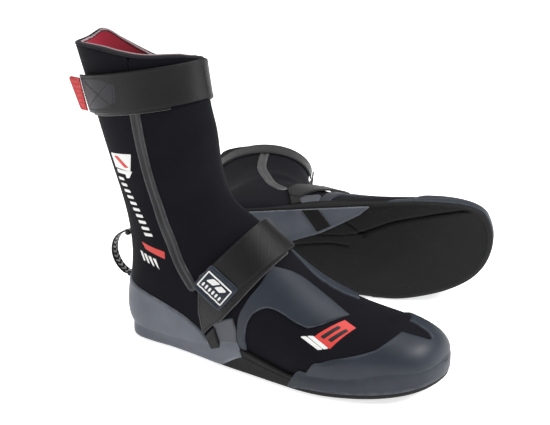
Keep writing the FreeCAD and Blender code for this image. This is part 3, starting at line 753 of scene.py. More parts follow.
NEOPRENE = knit("neoprene_jersey", (0.0022, 0.0022, 0.0034), (0.0078, 0.0074, 0.0112), 0.02)
FLEECE = fleece("red_fleece", (0.20, 0.006, 0.018), (0.42, 0.022, 0.05))
EDGE_TAPE = knit("collar_edge_tape", (0.008, 0.008, 0.009), (0.022, 0.022, 0.025), 0.04, 1.2)
PIPING = plain("collar_piping", (0.40, 0.29, 0.31), 0.7, (0.24, 0.18, 0.19), 0.2)
SOLE = pebbled("sole_rubber", (0.0022, 0.0023, 0.0024), (0.0125, 0.0127, 0.0132))
INSOLE = fleece("insole_cover", (0.02, 0.02, 0.022), (0.05, 0.05, 0.055), 0.5)
OVERLAY = rubber("overlay_rubber", (0.0125, 0.0165, 0.0245), (0.021, 0.0265, 0.037), (0.06, 0.07, 0.088))
HEEL = rubber("heel_rubber", (0.070, 0.078, 0.098), (0.105, 0.114, 0.136), (0.2, 0.21, 0.235))
WING_RUBBER = rubber("wing_rubber", (0.050, 0.054, 0.065), (0.072, 0.076, 0.09), (0.14, 0.15, 0.17))
PALE_TAPE = rubber("pale_tape_rubber", (0.045, 0.045, 0.046), (0.075, 0.075, 0.076),
                   (0.16, 0.16, 0.165), 0.42)
TAPE = rubber("seam_tape_rubber", (0.012, 0.012, 0.014), (0.026, 0.026, 0.028), (0.085, 0.085, 0.09), 0.42)
# The anchor's webbing is the black strap webbing made several times paler: painted light, standing in for
# light falling on the medial side, which faces up on the lying boot.
ANCHOR_WEBBING_PAINTED_LIGHT = webbing("anchor_webbing_painted_light", (0.008, 0.008, 0.0085), (0.03, 0.03, 0.031), sheen=0.05)
WEBBING = webbing("black_webbing", (0.0018, 0.0018, 0.002), (0.0085, 0.0082, 0.0085), sheen=0.03)
STRAP_END = webbing("strap_end_webbing", (0.010, 0.010, 0.0135), (0.027, 0.026, 0.034), 1.0)
LOOP_PILE = fleece("loop_pile", (0.003, 0.003, 0.0035), (0.010, 0.010, 0.0115), 1.3)
HOOKS = plain("hook_plastic", (0.006, 0.006, 0.007), 0.4, (0.018, 0.018, 0.018), 0.25)
TAB_RED = rubber("tab_red_rubber", (0.42, 0.022, 0.026), (0.5, 0.036, 0.04), (0.66, 0.12, 0.12), 0.45)
THREAD_DARK = plain("dark_thread", (0.006, 0.006, 0.007), 0.6)
THREAD_RED = plain("red_thread", (0.35, 0.03, 0.035), 0.6)
INK_WHITE = plain("white_ink", (0.78, 0.78, 0.76), 0.5, (0.66, 0.66, 0.65))
INK_RED = plain("red_ink", (0.62, 0.055, 0.045), 0.5, (0.5, 0.04, 0.035))
INK_DARK = plain("dark_ink", (0.012, 0.012, 0.014), 0.5)
BADGE_NAVY = rubber("badge_navy", (0.006, 0.011, 0.021), (0.01, 0.016, 0.028), (0.035, 0.045, 0.055), 0.4)
LOOP_WEBBING = printed_webbing("heel_loop_webbing")

# ------------------------------------------------------------------ neoprene, lining and collar

PANEL_SEAM = smooth([(20, 300), (24, 250), (28, 217), (32, 189), (37, 167), (46, 141), (59, 110),
                     (71, 88), (88, 66), (103, 42), (111, 16), (114, -20)])
INSTEP_SEAM = np.array([(75, -26), (103, 42), (218, 330)])
EDGE_DEPTH = 2.3


def heel_region(p):
    return inside(side_of(p), np.vstack([PANEL_SEAM, [(-140, -20), (-140, 300)]]))


def instep_side(p):
    return inside(side_of(p), np.vstack([INSTEP_SEAM, [(400, 330), (400, -26)]]))


def leg_field(p):
    return below_collar(p, EDGE_DEPTH)


for panel, field in {"heel_panel": lambda p: least(leg_field(p), heel_region(p)),
                     "foot_panel": lambda p: least(-heel_region(p), instep_side(p)),
                     "shin_panel": lambda p: least(leg_field(p), -heel_region(p), -instep_side(p))}.items():
    both(skin(panel, field, -5.0, 0.0, step=2.0, drop=0.9, radius=1.1), NEOPRENE, "neoprene")
both(skin("lining", leg_field, -6.8, -5.2, step=2.6, drop=0.2), FLEECE, "fleece")
both(skin("collar_edge", lambda p: least(below_collar(p), EDGE_DEPTH + 0.5 - below_collar(p)),
          -7.0, 0.4, step=1.5, drop=2.4, radius=1.35, low_drop=2.2), EDGE_TAPE, "edge_tape")
both(skin("collar_piping", lambda p: least(below_collar(p) + 0.5, 1.5 - below_collar(p)),
          -7.4, -5.4, step=1.5, drop=0.9, radius=0.8, low_drop=0.9), PIPING, "edge_tape")

# ------------------------------------------------------------------ the moulded rubber overlays

TOE_CAP = outline(
    [(196, -62), (203, -57), (213, -55), (226, -53), (242, -49), (256, -43), (265, -36), (272, -24),
     (275, -15)],
    [(275, -15), (286, -11), (295, -6), (297, -1), (292, 2), (284, 3), (275, 4)],
    [(275, 4), (273, 15), (264, 29), (247, 40), (226, 45), (205, 48), (196, 52)],
    closing=[(196, 80), (340, 80), (340, -80), (196, -80)])
CAP_FOOT = [(194, 2), (212, 30), (236, 36), (250, 2)]
HEEL_CAP = outline(
    [(-30, 60), (-5, 59), (10, 57), (29, 53), (58, 45), (79, 37), (97, 26), (106, 12), (108, -5)],
    closing=[(-60, -5), (-60, 60)])
HEEL_MEDIAL = outline([(-30, 60), (-5, 59), (8, 56), (20, 42), (28, 22), (32, 5), (33, -5)],
                      closing=[(-60, -5), (-60, 60)])
WING = [(107, 41), (129, 50), (141, 24), (144, -10), (121, -10), (118, 14)]
INSTEP_SHAPE = outline(
    [(136, -18), (134, -6), (135, 6), (142, 20), (150, 33), (156, 53)],
    [(156, 53), (178, 54), (206, 43), (231, 31)],
    [(231, 31), (212, 14), (201, 8.5)],
    [(201, 8.5), (188, 11), (173, 16), (161, 16.5), (151, 11), (145, 3), (143, -7), (145, -18)],
    [(145, -18), (136, -18)])
MEDIAL_SHAPE = outline(
    [(134, -16), (133, -4), (136, 20), (145, 45), (153, 66)],
    [(153, 66), (186, 58), (210, 51), (228, 43)],
    [(228, 43), (213, 21), (203, 13)],
    [(203, 13), (187, 17), (171, 20), (158, 18), (150, 10), (146, 0), (144, -8), (145, -16)],
    [(145, -16), (134, -16)])


def cap_field(p):
    """The cap's plan, and its lateral foot that slopes back down to the sole."""
    foot = least(inside(side_of(p), CAP_FOOT), -20 - p[:, 1])
    return np.maximum(inside(seen_from(p, -90), TOE_CAP), foot)


def counter_field(p):
    return np.where(p[:, 1] > 0, inside(side_of(p), HEEL_MEDIAL), inside(side_of(p), HEEL_CAP))


def instep_field(p):
    return least(inside(seen_from(p, -45), INSTEP_SHAPE), p[:, 2] - p[:, 1])


def medial_field(p):
    return least(inside(seen_from(p, 45), MEDIAL_SHAPE), p[:, 2] + p[:, 1], p[:, 1])


def wing_field(p, sign, beside):
    return least(inside(side_of(p), WING), sign * p[:, 1] - 4, -beside(p) - 0.4)


for name, field, material, step in (
        ("toe_cap", cap_field, OVERLAY, 1.5),
        ("heel_counter", counter_field, HEEL, 1.7),
        ("instep_overlay", instep_field, OVERLAY, 1.2),
        ("medial_overlay", medial_field, OVERLAY, 1.2),
        ("lateral_wing", lambda p: wing_field(p, -1, instep_field), WING_RUBBER, 1.2),
        ("medial_wing", lambda p: wing_field(p, 1, medial_field), WING_RUBBER, 1.2)):
    both(skin(name, lambda p: least(field(p), above_rim(p)), -0.4, 1.9, step=step, radius=1.5),
         material, "overlay_rubber")

# ------------------------------------------------------------------ seam tapes

TAPE_LINE = smooth([(24, 250), (28, 217), (32, 189), (37, 167), (46, 141), (59, 110), (70, 88), (84, 70)])
TAPE_HALF = 5.5


def tape_ridges(p):
    d = line_distance(side_of(p), TAPE_LINE)
    return 0.6 * np.exp(-((d - 3.2) / 1.2) ** 2) - 0.55 * np.exp(-(d / 0.9) ** 2)


for name, sign, material in (("lateral_seam_tape", -1, TAPE), ("medial_seam_tape", 1, PALE_TAPE)):
    both(skin(name, lambda p: least(TAPE_HALF - line_distance(side_of(p), TAPE_LINE), sign * p[:, 1] - 4),
              -0.2, 0.8, step=0.9, radius=0.7, relief=tape_ridges), material, "tape_rubber")

# ------------------------------------------------------------------ the ankle strap

STRAP_SLOPE, STRAP_LOW, STRAP_TALL, STRAP_BACK = 0.2, 218.0, 36.0, -36.0


def strap_height(p):
    return p[:, 2] - STRAP_SLOPE * p[:, 0] - STRAP_LOW


def slab(p, drop=0.0):
    """Distance inside the strap's two long edges, scaled for their slope."""
    h = strap_height(p) + drop
    return least(h, STRAP_TALL - h) * 0.98


def strap_cloth(p, u, v):
    return np.stack([arc_of(u, v)[0], strap_height(p)], 1)


def between(p, low, high):
    return least(p[:, 0] - low, high - p[:, 0])


# The anchor gets the paler webbing, whose colour is painted light on the upturned medial side.
anchor = skin("ankle_strap_anchor",
              lambda p: least(slab(p, 3.0), np.maximum(p[:, 1] - 0.3, STRAP_BACK - 0.3 - p[:, 0])),
              1.5, 3.4, step=1.6, marks=(2.6,), texture=strap_cloth)
both(anchor, ANCHOR_WEBBING_PAINTED_LIGHT, "webbing")
sew("anchor_stitches", anchor.seams)
both(skin("ankle_loop_patch", lambda p: least(slab(p, 3.0), between(p, STRAP_BACK, 60), -p[:, 1]),
          1.5, 2.4, step=1.8), LOOP_PILE, "loop_fabric")
both(skin("ankle_hook_patch", lambda p: least(slab(p) - 1.0, between(p, STRAP_BACK + 2, 10), -p[:, 1]),
          2.7, 3.6, step=1.8), HOOKS, "hook_plastic", "ankle_strap")


def strap_thickness(p):
    """The doubled end lies a little higher, and the strap rises at each edge."""
    h = strap_height(p) / STRAP_TALL
    doubled = 0.3 / (1 + np.exp((p[:, 0] - 13) / 0.8))
    return doubled + 0.25 * np.cos(2 * np.pi * h) + 0.3 * np.sin(p[:, 0] / 14) * np.sin(np.pi * h)


strap = skin("ankle_strap", lambda p: least(slab(p), p[:, 0] - STRAP_BACK, -p[:, 1]),
             3.8, 5.4, step=1.2, marks=(2.4,), relief=strap_thickness, texture=strap_cloth)
both(strap, WEBBING, "webbing", "ankle_strap")
sew("ankle_strap_stitches", strap.seams, "ankle_strap")

# ------------------------------------------------------------------ the instep strap

BAND = np.array([(87, 72), (113, 54), (182, 122), (150, 143)])
BAND_CROSS, BAND_WIDE = np.array([0.748, -0.664]), 32.0
HOOK_PATCH = [(91, 73), (112, 57), (138, 82), (115, 101)]
BADGE = np.array([(104, 92), (134, 75), (118, 55), (88, 72)])
PAD = [(98, 27), (108, 38), (116, 43), (134, 65), (150, 86), (175, 117), (145, 129), (92, 80), (93, 48)]
LATERAL_ANCHOR = [(101.5, 27.5), (110.5, 38), (126.5, 0), (116, 0)]
MEDIAL_STRAP = [(150, 143), (182, 122), (124, 62), (111, 34), (100, 38), (92, 62), (96, 86)]
MEDIAL_ANCHOR = [(100.2, 37.5), (111, 33.5), (124, 0), (112, 0)]
HINGE_SIDE = 24.0


def band_cloth(p, u, v):
    return np.stack([arc_of(u, v)[0], side_of(p) @ BAND_CROSS], 1)


def webbing_piece(name, region, low, high, limit, material=None, slot="webbing", body="boot",
                  marks=(2.2,), step=1.3, **more):
    """A length of strap on the foot, within its region and its limit, with its stitches."""
    def field(p):
        return least(inside(side_of(p), region), above_rim(p) - 0.3, limit(p))
    piece = skin(name, field, low, high, marks=marks, step=step, texture=band_cloth, **more)
    both(piece, material or WEBBING, slot, body)
    if piece.seams:
        sew(name + "_stitches", piece.seams, body)


def lateral_side(p):
    return -p[:, 1] - 2


webbing_piece("instep_pad", PAD, 2.1, 3.3, lateral_side, LOOP_PILE, "loop_fabric")
webbing_piece("lateral_anchor", LATERAL_ANCHOR, 2.1, 3.9, lateral_side)
webbing_piece("medial_anchor", MEDIAL_ANCHOR, 2.1, 3.9, lambda p: p[:, 1] - 2)
webbing_piece("medial_strap", MEDIAL_STRAP, 2.1, 3.9, lambda p: p[:, 1] - HINGE_SIDE - 0.3,
              relief=lambda p: 2.3 * np.exp(-((p[:, 1] - HINGE_SIDE) / 3.2) ** 2))
webbing_piece("instep_hook_patch", HOOK_PATCH, 3.6, 4.4, lateral_side, HOOKS, "hook_plastic",
              "instep_strap", ())


def band_swell(p):
    """The band's edges lie a little higher than its middle, and it waves slightly along."""
    across = (side_of(p) - BAND[0]) @ BAND_CROSS / BAND_WIDE
    return 0.3 * np.cos(2 * np.pi * across) + 0.3 * np.sin(p[:, 1] / 9 + 1)


webbing_piece("instep_strap", BAND, 4.7, 6.4, lambda p: least(HINGE_SIDE - p[:, 1], p[:, 2] - 40),
              body="instep_strap", step=1.2, relief=band_swell)

# ------------------------------------------------------------------ sole, insole and toe divider

SOLE_PLAN = smooth([(3, 0), (6, -20), (16, -33), (35, -37), (60, -38.5), (90, -43), (120, -48.5),
                    (150, -52), (180, -55.5), (212, -58), (240, -54.5), (268, -47), (291, -35),
                    (305, -18), (311, 6), (305, 29), (291, 40), (268, 45), (240, 47), (210, 46),
                    (180, 44), (150, 42), (120, 40), (90, 38), (60, 36), (35, 35.5), (16, 32),
                    (6, 19), (3, 0)], per=10)[:-1]
TOE_SPRING = smooth([(195, 0), (235, 1.5), (270, 5.0), (300, 10.0), (330, 16.5)])
# Creases in the worn bottom: a long one along the medial forefoot and short ones at the waist.
CREASES = [
    (smooth([(178, 13), (197, 20), (214, 26), (245, 32), (272, 36), (297, 38)]), 3.4, 1.4),
    (smooth([(150, 33), (166, 24), (184, 11)]), 2.2, 1.1),
    (smooth([(96, -3), (120, 0), (146, 2), (166, 0)]), 2.0, 1.1),
    (smooth([(126, 12), (150, 11), (178, 13)]), 1.4, 0.7),
]
# The medial arch, where the rubber of the heel wraps under the sole, which is a little hollow there.
ARCH = [(5, 70), (5, 10), (60, 3), (103, 1), (138, 12), (159, 22), (180, 33), (200, 50), (205, 70)]


def form_tree(grow):
    """The form, grown, as a tree for rays."""
    points = surface(GRID_U, GRID_V, grow)
    across = len(V_COARSE)
    faces = [[i * across + j, i * across + j + 1, (i + 1) * across + j + 1, (i + 1) * across + j]
             for i in range(len(U_COARSE) - 1) for j in range(across - 1)]
    return BVHTree.FromPolygons(points.tolist(), faces)


FORM = form_tree(0.0)


EDGE_HIGH, EDGE_INSET, FLOOR_THICK, LIP_DROP = 4.0, 5.0, 4.7, 1.0


def sole_floor(x):
    return np.interp(x, TOE_SPRING[:, 0], TOE_SPRING[:, 1], left=0.0)


def ease(value, low, high):
    """0 at low to 1 at high, smooth at both."""
    t = np.clip((value - low) / (high - low), 0, 1)
    return t * t * (3 - 2 * t)


def arch_rise(p):
    return 2.4 * ease(inside(p[:, :2], ARCH), 0.0, 5.0)


def sole_inset(height):
    """How far the rounded bottom edge lies inside the plan, at a height over the floor."""
    h = np.clip(height / EDGE_HIGH, 0, 1)
    return EDGE_INSET - EDGE_INSET * np.sqrt(1 - (1 - h) ** 2)


def outward_of(plan):
    direction = np.roll(plan, -1, 0) - np.roll(plan, 1, 0)
    outward = np.stack([direction[:, 1], -direction[:, 0]], 1)
    outward /= np.linalg.norm(outward, axis=1)[:, None]
    return outward * np.sign((outward * (plan - [160, 0])).sum(1).mean())


COUNT = len(SOLE_PLAN)
SOLE_OUT = outward_of(SOLE_PLAN)
SOLE_FLOOR, SOLE_RIM = sole_floor(SOLE_PLAN[:, 0]), rim_height(SOLE_PLAN[:, 0])


def form_reach(height, limit=14.0):
    """From the sole's plan inwards to the boot's form, at a height for each point."""
    reach = []
    for spot, out, z in zip(SOLE_PLAN, SOLE_OUT, height):
        start = Vector((spot[0] + 2 * out[0], spot[1] + 2 * out[1], z))
        hit = FORM.ray_cast(start, Vector((-out[0], -out[1], 0)), limit + 2)[3]
        reach.append(hit - 2.0 if hit else 4.0)
    return np.array(reach)


BOTTOM_RINGS = 40


def outsole():
    """A cup sole: grained bottom, rounded edge, side wall up to the rim and a lip to the foot."""
    floor, rim = SOLE_FLOOR, SOLE_RIM
    reach = np.minimum(form_reach(rim - 0.5), 8.0) + 0.9
    rings = []

    def ring(inset, z, k=1.0):
        base = SOLE_PLAN - SOLE_OUT * np.reshape(inset, (-1, 1))
        middle = (base + np.roll(base[::-1], 1, axis=0)) / 2
        spot = middle + (base - middle) * k
        lifted = z + arch_rise(spot) * np.clip(1 - (z - floor) / EDGE_HIGH, 0, 1)
        rings.append(np.column_stack([spot, lifted]))

    for k in np.linspace(0.0, 1.0, BOTTOM_RINGS):
        ring(EDGE_INSET, floor, k)
        under = rings[-1]
        under[:, 2] = sole_floor(under[:, 0]) + arch_rise(under)
        for line, depth, width in CREASES:
            under[:, 2] += depth * np.exp(-(line_distance(under[:, :2], line) / width) ** 2)
        swell = 0.5 + 0.5 * np.sin(under[:, 0] / 15 + 0.5) * np.sin(under[:, 1] / 12 + 0.3)
        under[:, 2] += 0.5 * swell * (1 - k ** 6)
    for a in np.radians([18, 36, 54, 72, 90]):
        ring(EDGE_INSET - EDGE_INSET * math.sin(a), floor + EDGE_HIGH - EDGE_HIGH * math.cos(a))
    for share, inset in ((0.3, 0.0), (0.6, 0.1), (0.72, 0.15), (0.76, 0.55), (0.8, 0.15), (0.94, 0.1)):
        ring(inset, floor + EDGE_HIGH + (rim - LIP_DROP - floor - EDGE_HIGH) * share)
    for a in np.radians([25, 50, 75]):
        ring(1.2 - 1.2 * math.cos(a), rim - LIP_DROP + math.sin(a))
    ring(reach, rim - 0.1)
    ring(reach + 0.6, (rim + floor + EDGE_HIGH) / 2)
    ring(reach + 1.2, floor + FLOOR_THICK)
    for k in (0.7, 0.35, 0.0):
        ring(7.0, floor + FLOOR_THICK, k)
        rings[-1][:, 2] = sole_floor(rings[-1][:, 0]) + FLOOR_THICK
    edge = np.repeat([9.0] * BOTTOM_RINGS + [2.0] * (len(rings) - BOTTOM_RINGS), COUNT)
    verts = np.vstack(rings)
    return Piece("outsole", verts, quad_strip(len(rings), COUNT), edge, verts[:, :2].copy())


both(outsole(), SOLE, "sole_rubber", sharp=60, recalc=True)


def sole_wrap(name, picked, low, high, thick=0.6):
    """A rubber band over the sole's side wall, up onto the skin above the rim.

    picked are points of the plan in order. low and high give the band's edges over the floor
    and the rim, from the plan's x.
    """
    top_reach = form_reach(SOLE_RIM + 7.0)
    rings = []
    for k in picked:
        x, floor, rim = SOLE_PLAN[k, 0], SOLE_FLOOR[k], SOLE_RIM[k]
        z0, z1 = floor + low(x, SOLE_PLAN[k, 1]), rim + high(x, SOLE_PLAN[k, 1])
        z1 = max(z1, z0 + 1.2)
        section = []
        for share in (0.0, 0.05, 0.15, 0.3, 0.5, 0.7, 0.85, 0.95, 1.0):
            z = z0 + (z1 - z0) * share
            t = ease(z, rim - 2.5, rim + 7.0)
            offset = (thick - sole_inset(z - floor)) * (1 - t) + (1.5 - top_reach[k]) * t
            offset -= thick * 0.8 if share in (0.0, 1.0) else 0.0
            section.append((offset, z))
        section += [(section[-1][0] - 1.2, z1), (section[0][0] - 1.2, z0)]
        lift = arch_rise(SOLE_PLAN[k:k + 1])[0]
        rings.append([(*(SOLE_PLAN[k] + SOLE_OUT[k] * o), z + lift * max(0.0, 1 - (z - floor) / EDGE_HIGH))
                      for o, z in section])
    n = len(rings[0])
    faces = quad_strip(len(rings), n) + [list(range(n)), [(len(rings) - 1) * n + k for k in range(n)]]
    verts = np.vstack(rings)
    edge = np.tile([0.0, 0.4, 1.2, 3, 3, 3, 1.2, 0.4, 0.0, 0.0, 0.0], len(rings))
    return Piece(name, verts, faces, edge, verts[:, [0, 2]].copy())


HALF = COUNT // 2
LATERAL, MEDIAL = [k for k in range(HALF) if SOLE_PLAN[k, 1] < 0], list(range(HALF, COUNT))
WRAP_TOP, WRAP_END = 7.0, 17.0


def behind(run, x):
    return [k for k in run if SOLE_PLAN[k, 0] < x]


def before(run, x):
    return [k for k in run if SOLE_PLAN[k, 0] > x]


def heel_top(x, y):
    """The band ends in a slope, short of the instep, and just past the heel on the medial side."""
    return WRAP_TOP - WRAP_END * (1 - (ease(x, 40, 28) if y > 0 else ease(x, 146, 132)))


def heel_low(x, y):
    """The band's lower edge climbs in front, so that the dark sole shows under it there."""
    return 0.35 if y > 0 else 0.35 + WRAP_END * (1 - ease(x, 146, 110))


def toe_low(x, y):
    return 5.6 if y > 0 else 5.6 - 2.5 * (1 - ease(x, 188, 214))


def toe_top(x, y):
    return WRAP_TOP - WRAP_END * (1 - (ease(x, 204, 216) if y > 0 else ease(x, 187, 199)))


both(sole_wrap("heel_wrap", behind(MEDIAL, 40) + [0] + behind(LATERAL, 144), heel_low, heel_top),
     HEEL, "overlay_rubber", recalc=True)
both(sole_wrap("toe_wrap", before(LATERAL, 188) + [HALF] + before(MEDIAL, 204), toe_low, toe_top),
     OVERLAY, "overlay_rubber", recalc=True)


def under_place(u, v, g):
    """The bottom of the sole, u to the medial side and v to the toe, growing downwards."""
    spot = np.stack([v, u], 1)
    return np.column_stack([spot, sole_floor(v) + arch_rise(spot) - g])


def from_plan(p, corners):
    return inside(p[:, :2], corners)


def plan_cloth(p, u, v):
    return p[:, :2]


ARCH_STRAP = [(104, 60), (122, 60), (150, 20), (136, 12)]
both(layer("arch_wrap", under_place, (-2, 46), (4, 204), (60, 200),
           lambda p: least(from_plan(p, ARCH) - 1.0, from_plan(p, SOLE_PLAN) - 2.0),
           -0.5, 0.9, radius=1.2, texture=plan_cloth), HEEL, "overlay_rubber")
both(layer("arch_strap", under_place, (10, 46), (108, 152), (60, 60),
           lambda p: least(from_plan(p, ARCH_STRAP), from_plan(p, SOLE_PLAN) - 2.6, from_plan(p, ARCH) - 3.5),
           0.4, 1.7, radius=0.7, texture=lambda p, u, v: p[:, [1, 0]]), WEBBING, "webbing")


def from_form(p):
    """Distance of points from the form's surface, for points inside it."""
    return np.array([FORM.find_nearest(Vector(q))[3] for q in p])


insole = layer("insole", lambda u, v, g: np.stack([u, v, 14.0 + g + 0 * u], 1), (2, 300), (-52, 46),
               (100, 34), lambda p: least(from_plan(p, SOLE_PLAN) - 8, from_form(p) - 7.7),
               -1.6, 0.9, radius=1.0, texture=plan_cloth)
for pad in both(insole, INSOLE, "insole_foam"):
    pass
both(layer("toe_divider", lambda u, v, g: np.stack([u, 10.3 + g + 0 * u, v], 1), (246, 300), (15.4, 46),
           (36, 22), lambda p: least(between(p, 246, 300), p[:, 2] - 15.4, from_form(p) - 7.6),
           0.0, 3.4, radius=1.4, texture=lambda p, u, v: side_of(p)), NEOPRENE, "neoprene")

# ------------------------------------------------------------------ pull tab, badge and heel loop

TAB_TOP_LONG, TAB_FOOT_LONG, TAB_BACK, TAB_SIDE, TAB_THICK, TAB_CORNER = 13.5, 9.0, -36.3, 22.3, 2.4, 2.5
TAB_HALF = STRAP_TALL / 2 - 1.5
TAB_MIDDLE = np.array([TAB_BACK, -TAB_SIDE, STRAP_LOW + STRAP_SLOPE * TAB_BACK + STRAP_TALL / 2])
# From tab coordinates (x, height, out) to the boot: a lean in towards its foot, then a turn.
TAB_FRAME = np.array([[1, 0, 0], [0, 0, -1], [0, 1, 0]]) @ turn("Y", -10.0) @ turn("X", 13.6)


def tab_place(u, v, g):
    """u runs back from the strap's end, v up from the middle, and g out of the plate."""
    return np.stack([-u, v, g + 0 * u], 1) @ TAB_FRAME.T + TAB_MIDDLE


def tab_spot(p):
    q = (p - TAB_MIDDLE) @ TAB_FRAME
    return np.stack([-q[:, 0], q[:, 1]], 1)


def tab_field(p):
    """Distance inside the tab's outline, which has rounded corners."""
    high = TAB_HALF - TAB_CORNER
    shape = [(-4, -high), (TAB_FOOT_LONG - TAB_CORNER, -high), (TAB_TOP_LONG - TAB_CORNER, high), (-4, high)]
    return TAB_CORNER + inside(tab_spot(p), shape)


def tab_ribs(p):
    """Grip ribs pressed across the tab."""
    away = np.clip(tab_field(p) - 2.6, 0, 1)
    return 0.45 * away * np.maximum(np.cos(2 * np.pi * tab_spot(p)[:, 1] / 4.6), 0) ** 2


tab = layer("ankle_pull_tab", tab_place, (0, TAB_TOP_LONG), (-TAB_HALF, TAB_HALF), (34, 76),
            lambda p: least(tab_field(p), tab_spot(p)[:, 0]), 0.0, TAB_THICK, drop=1.0, radius=1.2,
            low_drop=0.8, marks=(1.9,), relief=tab_ribs, texture=lambda p, u, v: np.stack([u, v], 1))
both(tab, TAB_RED, "tab_rubber", "ankle_strap")
sew("tab_stitches", tab.seams, "ankle_strap", THREAD_RED, "tab_rubber", pitch=2.2, length=1.5, radius=0.26)

BADGE_MIDDLE = BADGE.mean(0)
BADGE_X = (BADGE[1] - BADGE[0]) / np.linalg.norm(BADGE[1] - BADGE[0])
BADGE_Y = (BADGE[0] - BADGE[3]) / np.linalg.norm(BADGE[0] - BADGE[3])


def badge_face(p):
    return 2.6 + inside(side_of(p), BADGE_MIDDLE + (BADGE - BADGE_MIDDLE) * 0.84)


def badge_field(p):
    return least(badge_face(p), lateral_side(p))


def badge_border(p):
    f = badge_face(p)
    return 0.5 * np.exp(-((f - 1.9) / 0.55) ** 2) - 0.15 * np.clip(f - 2.8, 0, 1)


both(skin("strap_badge", badge_field, 6.6, 8.1, step=0.7, radius=0.8, relief=badge_border),
     BADGE_NAVY, "badge_rubber", "instep_strap")


# Half widths of the loop's band narrow towards its rounded, hinged ends.
LOOP_HINGE, LOOP_HALF, LOOP_HEIGHT, LOOP_RISE, LOOP_REACH = -18.0, 5.0, 70.0, 23.0, 17.0


def loop_band():
    """The webbing loop, a flat band bent round an arc, with narrowed ends."""
    top = np.array([LOOP_HINGE + LOOP_HALF, LOOP_HEIGHT + LOOP_RISE])
    back = top - [LOOP_REACH, LOOP_RISE]
    middle_x = (top[0] ** 2 - back[0] ** 2 + (top[1] - back[1]) ** 2) / (2 * (top[0] - back[0]))
    radius = middle_x - back[0]
    end = math.atan2(LOOP_RISE, top[0] - middle_x)
    verts, flat, edge = [], [], []
    angles = np.linspace(end, 2 * math.pi - end, 57)
    section = [(-1, 0.5), (-0.92, 0.95), (-0.6, 1.0), (-0.25, 0.92), (0, 0.9), (0.25, 0.92), (0.6, 1.0),
               (0.92, 0.95), (1, 0.5), (0.92, 0.05), (0.5, 0), (-0.5, 0), (-0.92, 0.05)]
    for a in angles:
        x = middle_x + radius * math.cos(a)
        half = LOOP_HALF
        if x > LOOP_HINGE:
            half = math.sqrt(max(LOOP_HALF ** 2 - (x - LOOP_HINGE) ** 2, 1.0))
        for share, depth in section:
            r = radius - 1.6 + 1.6 * depth
            verts.append((middle_x + r * math.cos(a), share * half, LOOP_HEIGHT + r * math.sin(a)))
            flat.append((radius * a, share * half))
            edge.append(half * (1 - abs(share)))
    n = len(section)
    faces = quad_strip(len(angles), n)
    faces += [list(reversed(range(n))), [(len(angles) - 1) * n + k for k in range(n)]]
    return Piece("heel_loop", np.array(verts), faces, np.array(edge), np.array(flat))


both(loop_band(), LOOP_WEBBING, "loop_webbing", "heel_loop", sharp=70)


def heel_tabs():
    """The two folded webbing ends that the loop turns between."""
    rings, n, middle, half_x, half_z = 9, 12, -10.3, 2.3, 2.65
    verts, faces = [], []
    for level in (LOOP_HEIGHT + LOOP_RISE - 1.6, LOOP_HEIGHT - LOOP_RISE + 1.6):
        base = len(verts)
        for y in np.linspace(-4.8, 4.8, rings):
            shrink = 0.86 if abs(y) > 4.7 else 1.0
            for k in range(n):
                a = 2 * math.pi * k / n
                c, s = math.cos(a), math.sin(a)
                verts.append((middle + half_x * shrink * math.copysign(abs(c) ** 0.6, c), y,
                              level + half_z * shrink * math.copysign(abs(s) ** 0.6, s)))
        faces += [face[::-1] for face in quad_strip(rings, n, base)]
        last = len(verts) - n
        faces += [[base + k for k in range(n)], [last + k for k in reversed(range(n))]]
    verts = np.array(verts)
    return Piece("heel_loop_tabs", verts, faces, 5 - np.abs(verts[:, 1]), verts[:, [2, 1]].copy())


both(heel_tabs(), LOOP_WEBBING, "loop_webbing", sharp=70)

# ------------------------------------------------------------------ prints and sewn details


def decal(name, corners, ink, slot="neoprene", body="boot", grow=0.0, tilt=0, round_by=0.4):
    """A thin printed shape on the lateral side, its corners given in a view of the boot."""
    thick = 0.22
    shape = np.array(corners, float)
    both(skin(name, lambda p: least(round_by + inside(seen_from(p, tilt), shape), -p[:, 1] - 1),
              grow - 0.15, grow + thick, step=0.8, radius=0.3, drop=thick), ink, slot, body)


decal("leg_card", [(-9, 177), (19, 181.5), (16.5, 165.5), (-5, 164.5)], INK_WHITE)
decal("leg_card_band", [(-3.5, 175.5), (1.5, 176.3), (14.5, 168.3), (9.5, 167.5)], INK_RED, grow=0.2)
decal("leg_flag", [(-3, 162.6), (18.5, 165), (14.5, 158.4), (11, 157.6), (10, 161), (-2, 159.8)], INK_WHITE)
for k in range(10):
    share = k / 10
    x, z, wide = -3.0 + 37.0 * share, 155.0 - 51.0 * share, 8.5 + 1.5 * share
    decal(f"leg_stripe_{k + 1}", [(x, z), (x + wide, z + 1.2), (x + wide + 1.6, z - 1.0), (x + 1.8, z - 2.3)],
          INK_WHITE, round_by=0.15)
decal("leg_red_bar", [(28, 99.5), (54, 95.5), (54.5, 89.5), (33, 94.5)], INK_RED)
for k in range(4):
    x, z = 25 + 5.4 * k, 90.8 - 1.1 * k
    decal(f"leg_comb_{k + 1}", [(x, z), (x + 3.4, z - 0.6), (x + 7.6, z - 8.4 - k * 0.4), (x + 5.6, z - 8)],
          INK_WHITE, round_by=0.2)
decal("toe_red_print", [(209.5, 3.2), (229, 24.5), (240, 20.3), (225, -3.2)], INK_RED, tilt=-45)
for k, x in enumerate((215.0, 222.0)):
    decal(f"toe_dark_stroke_{k + 1}",
          [(x, 4.6 - k), (x + 11, 17.4 - k), (x + 13.4, 16.6 - k), (x + 3, 3.6 - k)],
          INK_DARK, tilt=-45, grow=0.2)
for k, corners in enumerate(([(203.5, 2.4), (208.2, 3.2), (223.2, -3.4), (219.8, -4.6)],
                             [(197.5, 0.6), (201.8, 1.6), (218.4, -5.2), (215, -6.2)])):
    decal(f"toe_white_stripe_{k + 1}", corners, INK_WHITE, tilt=-45)


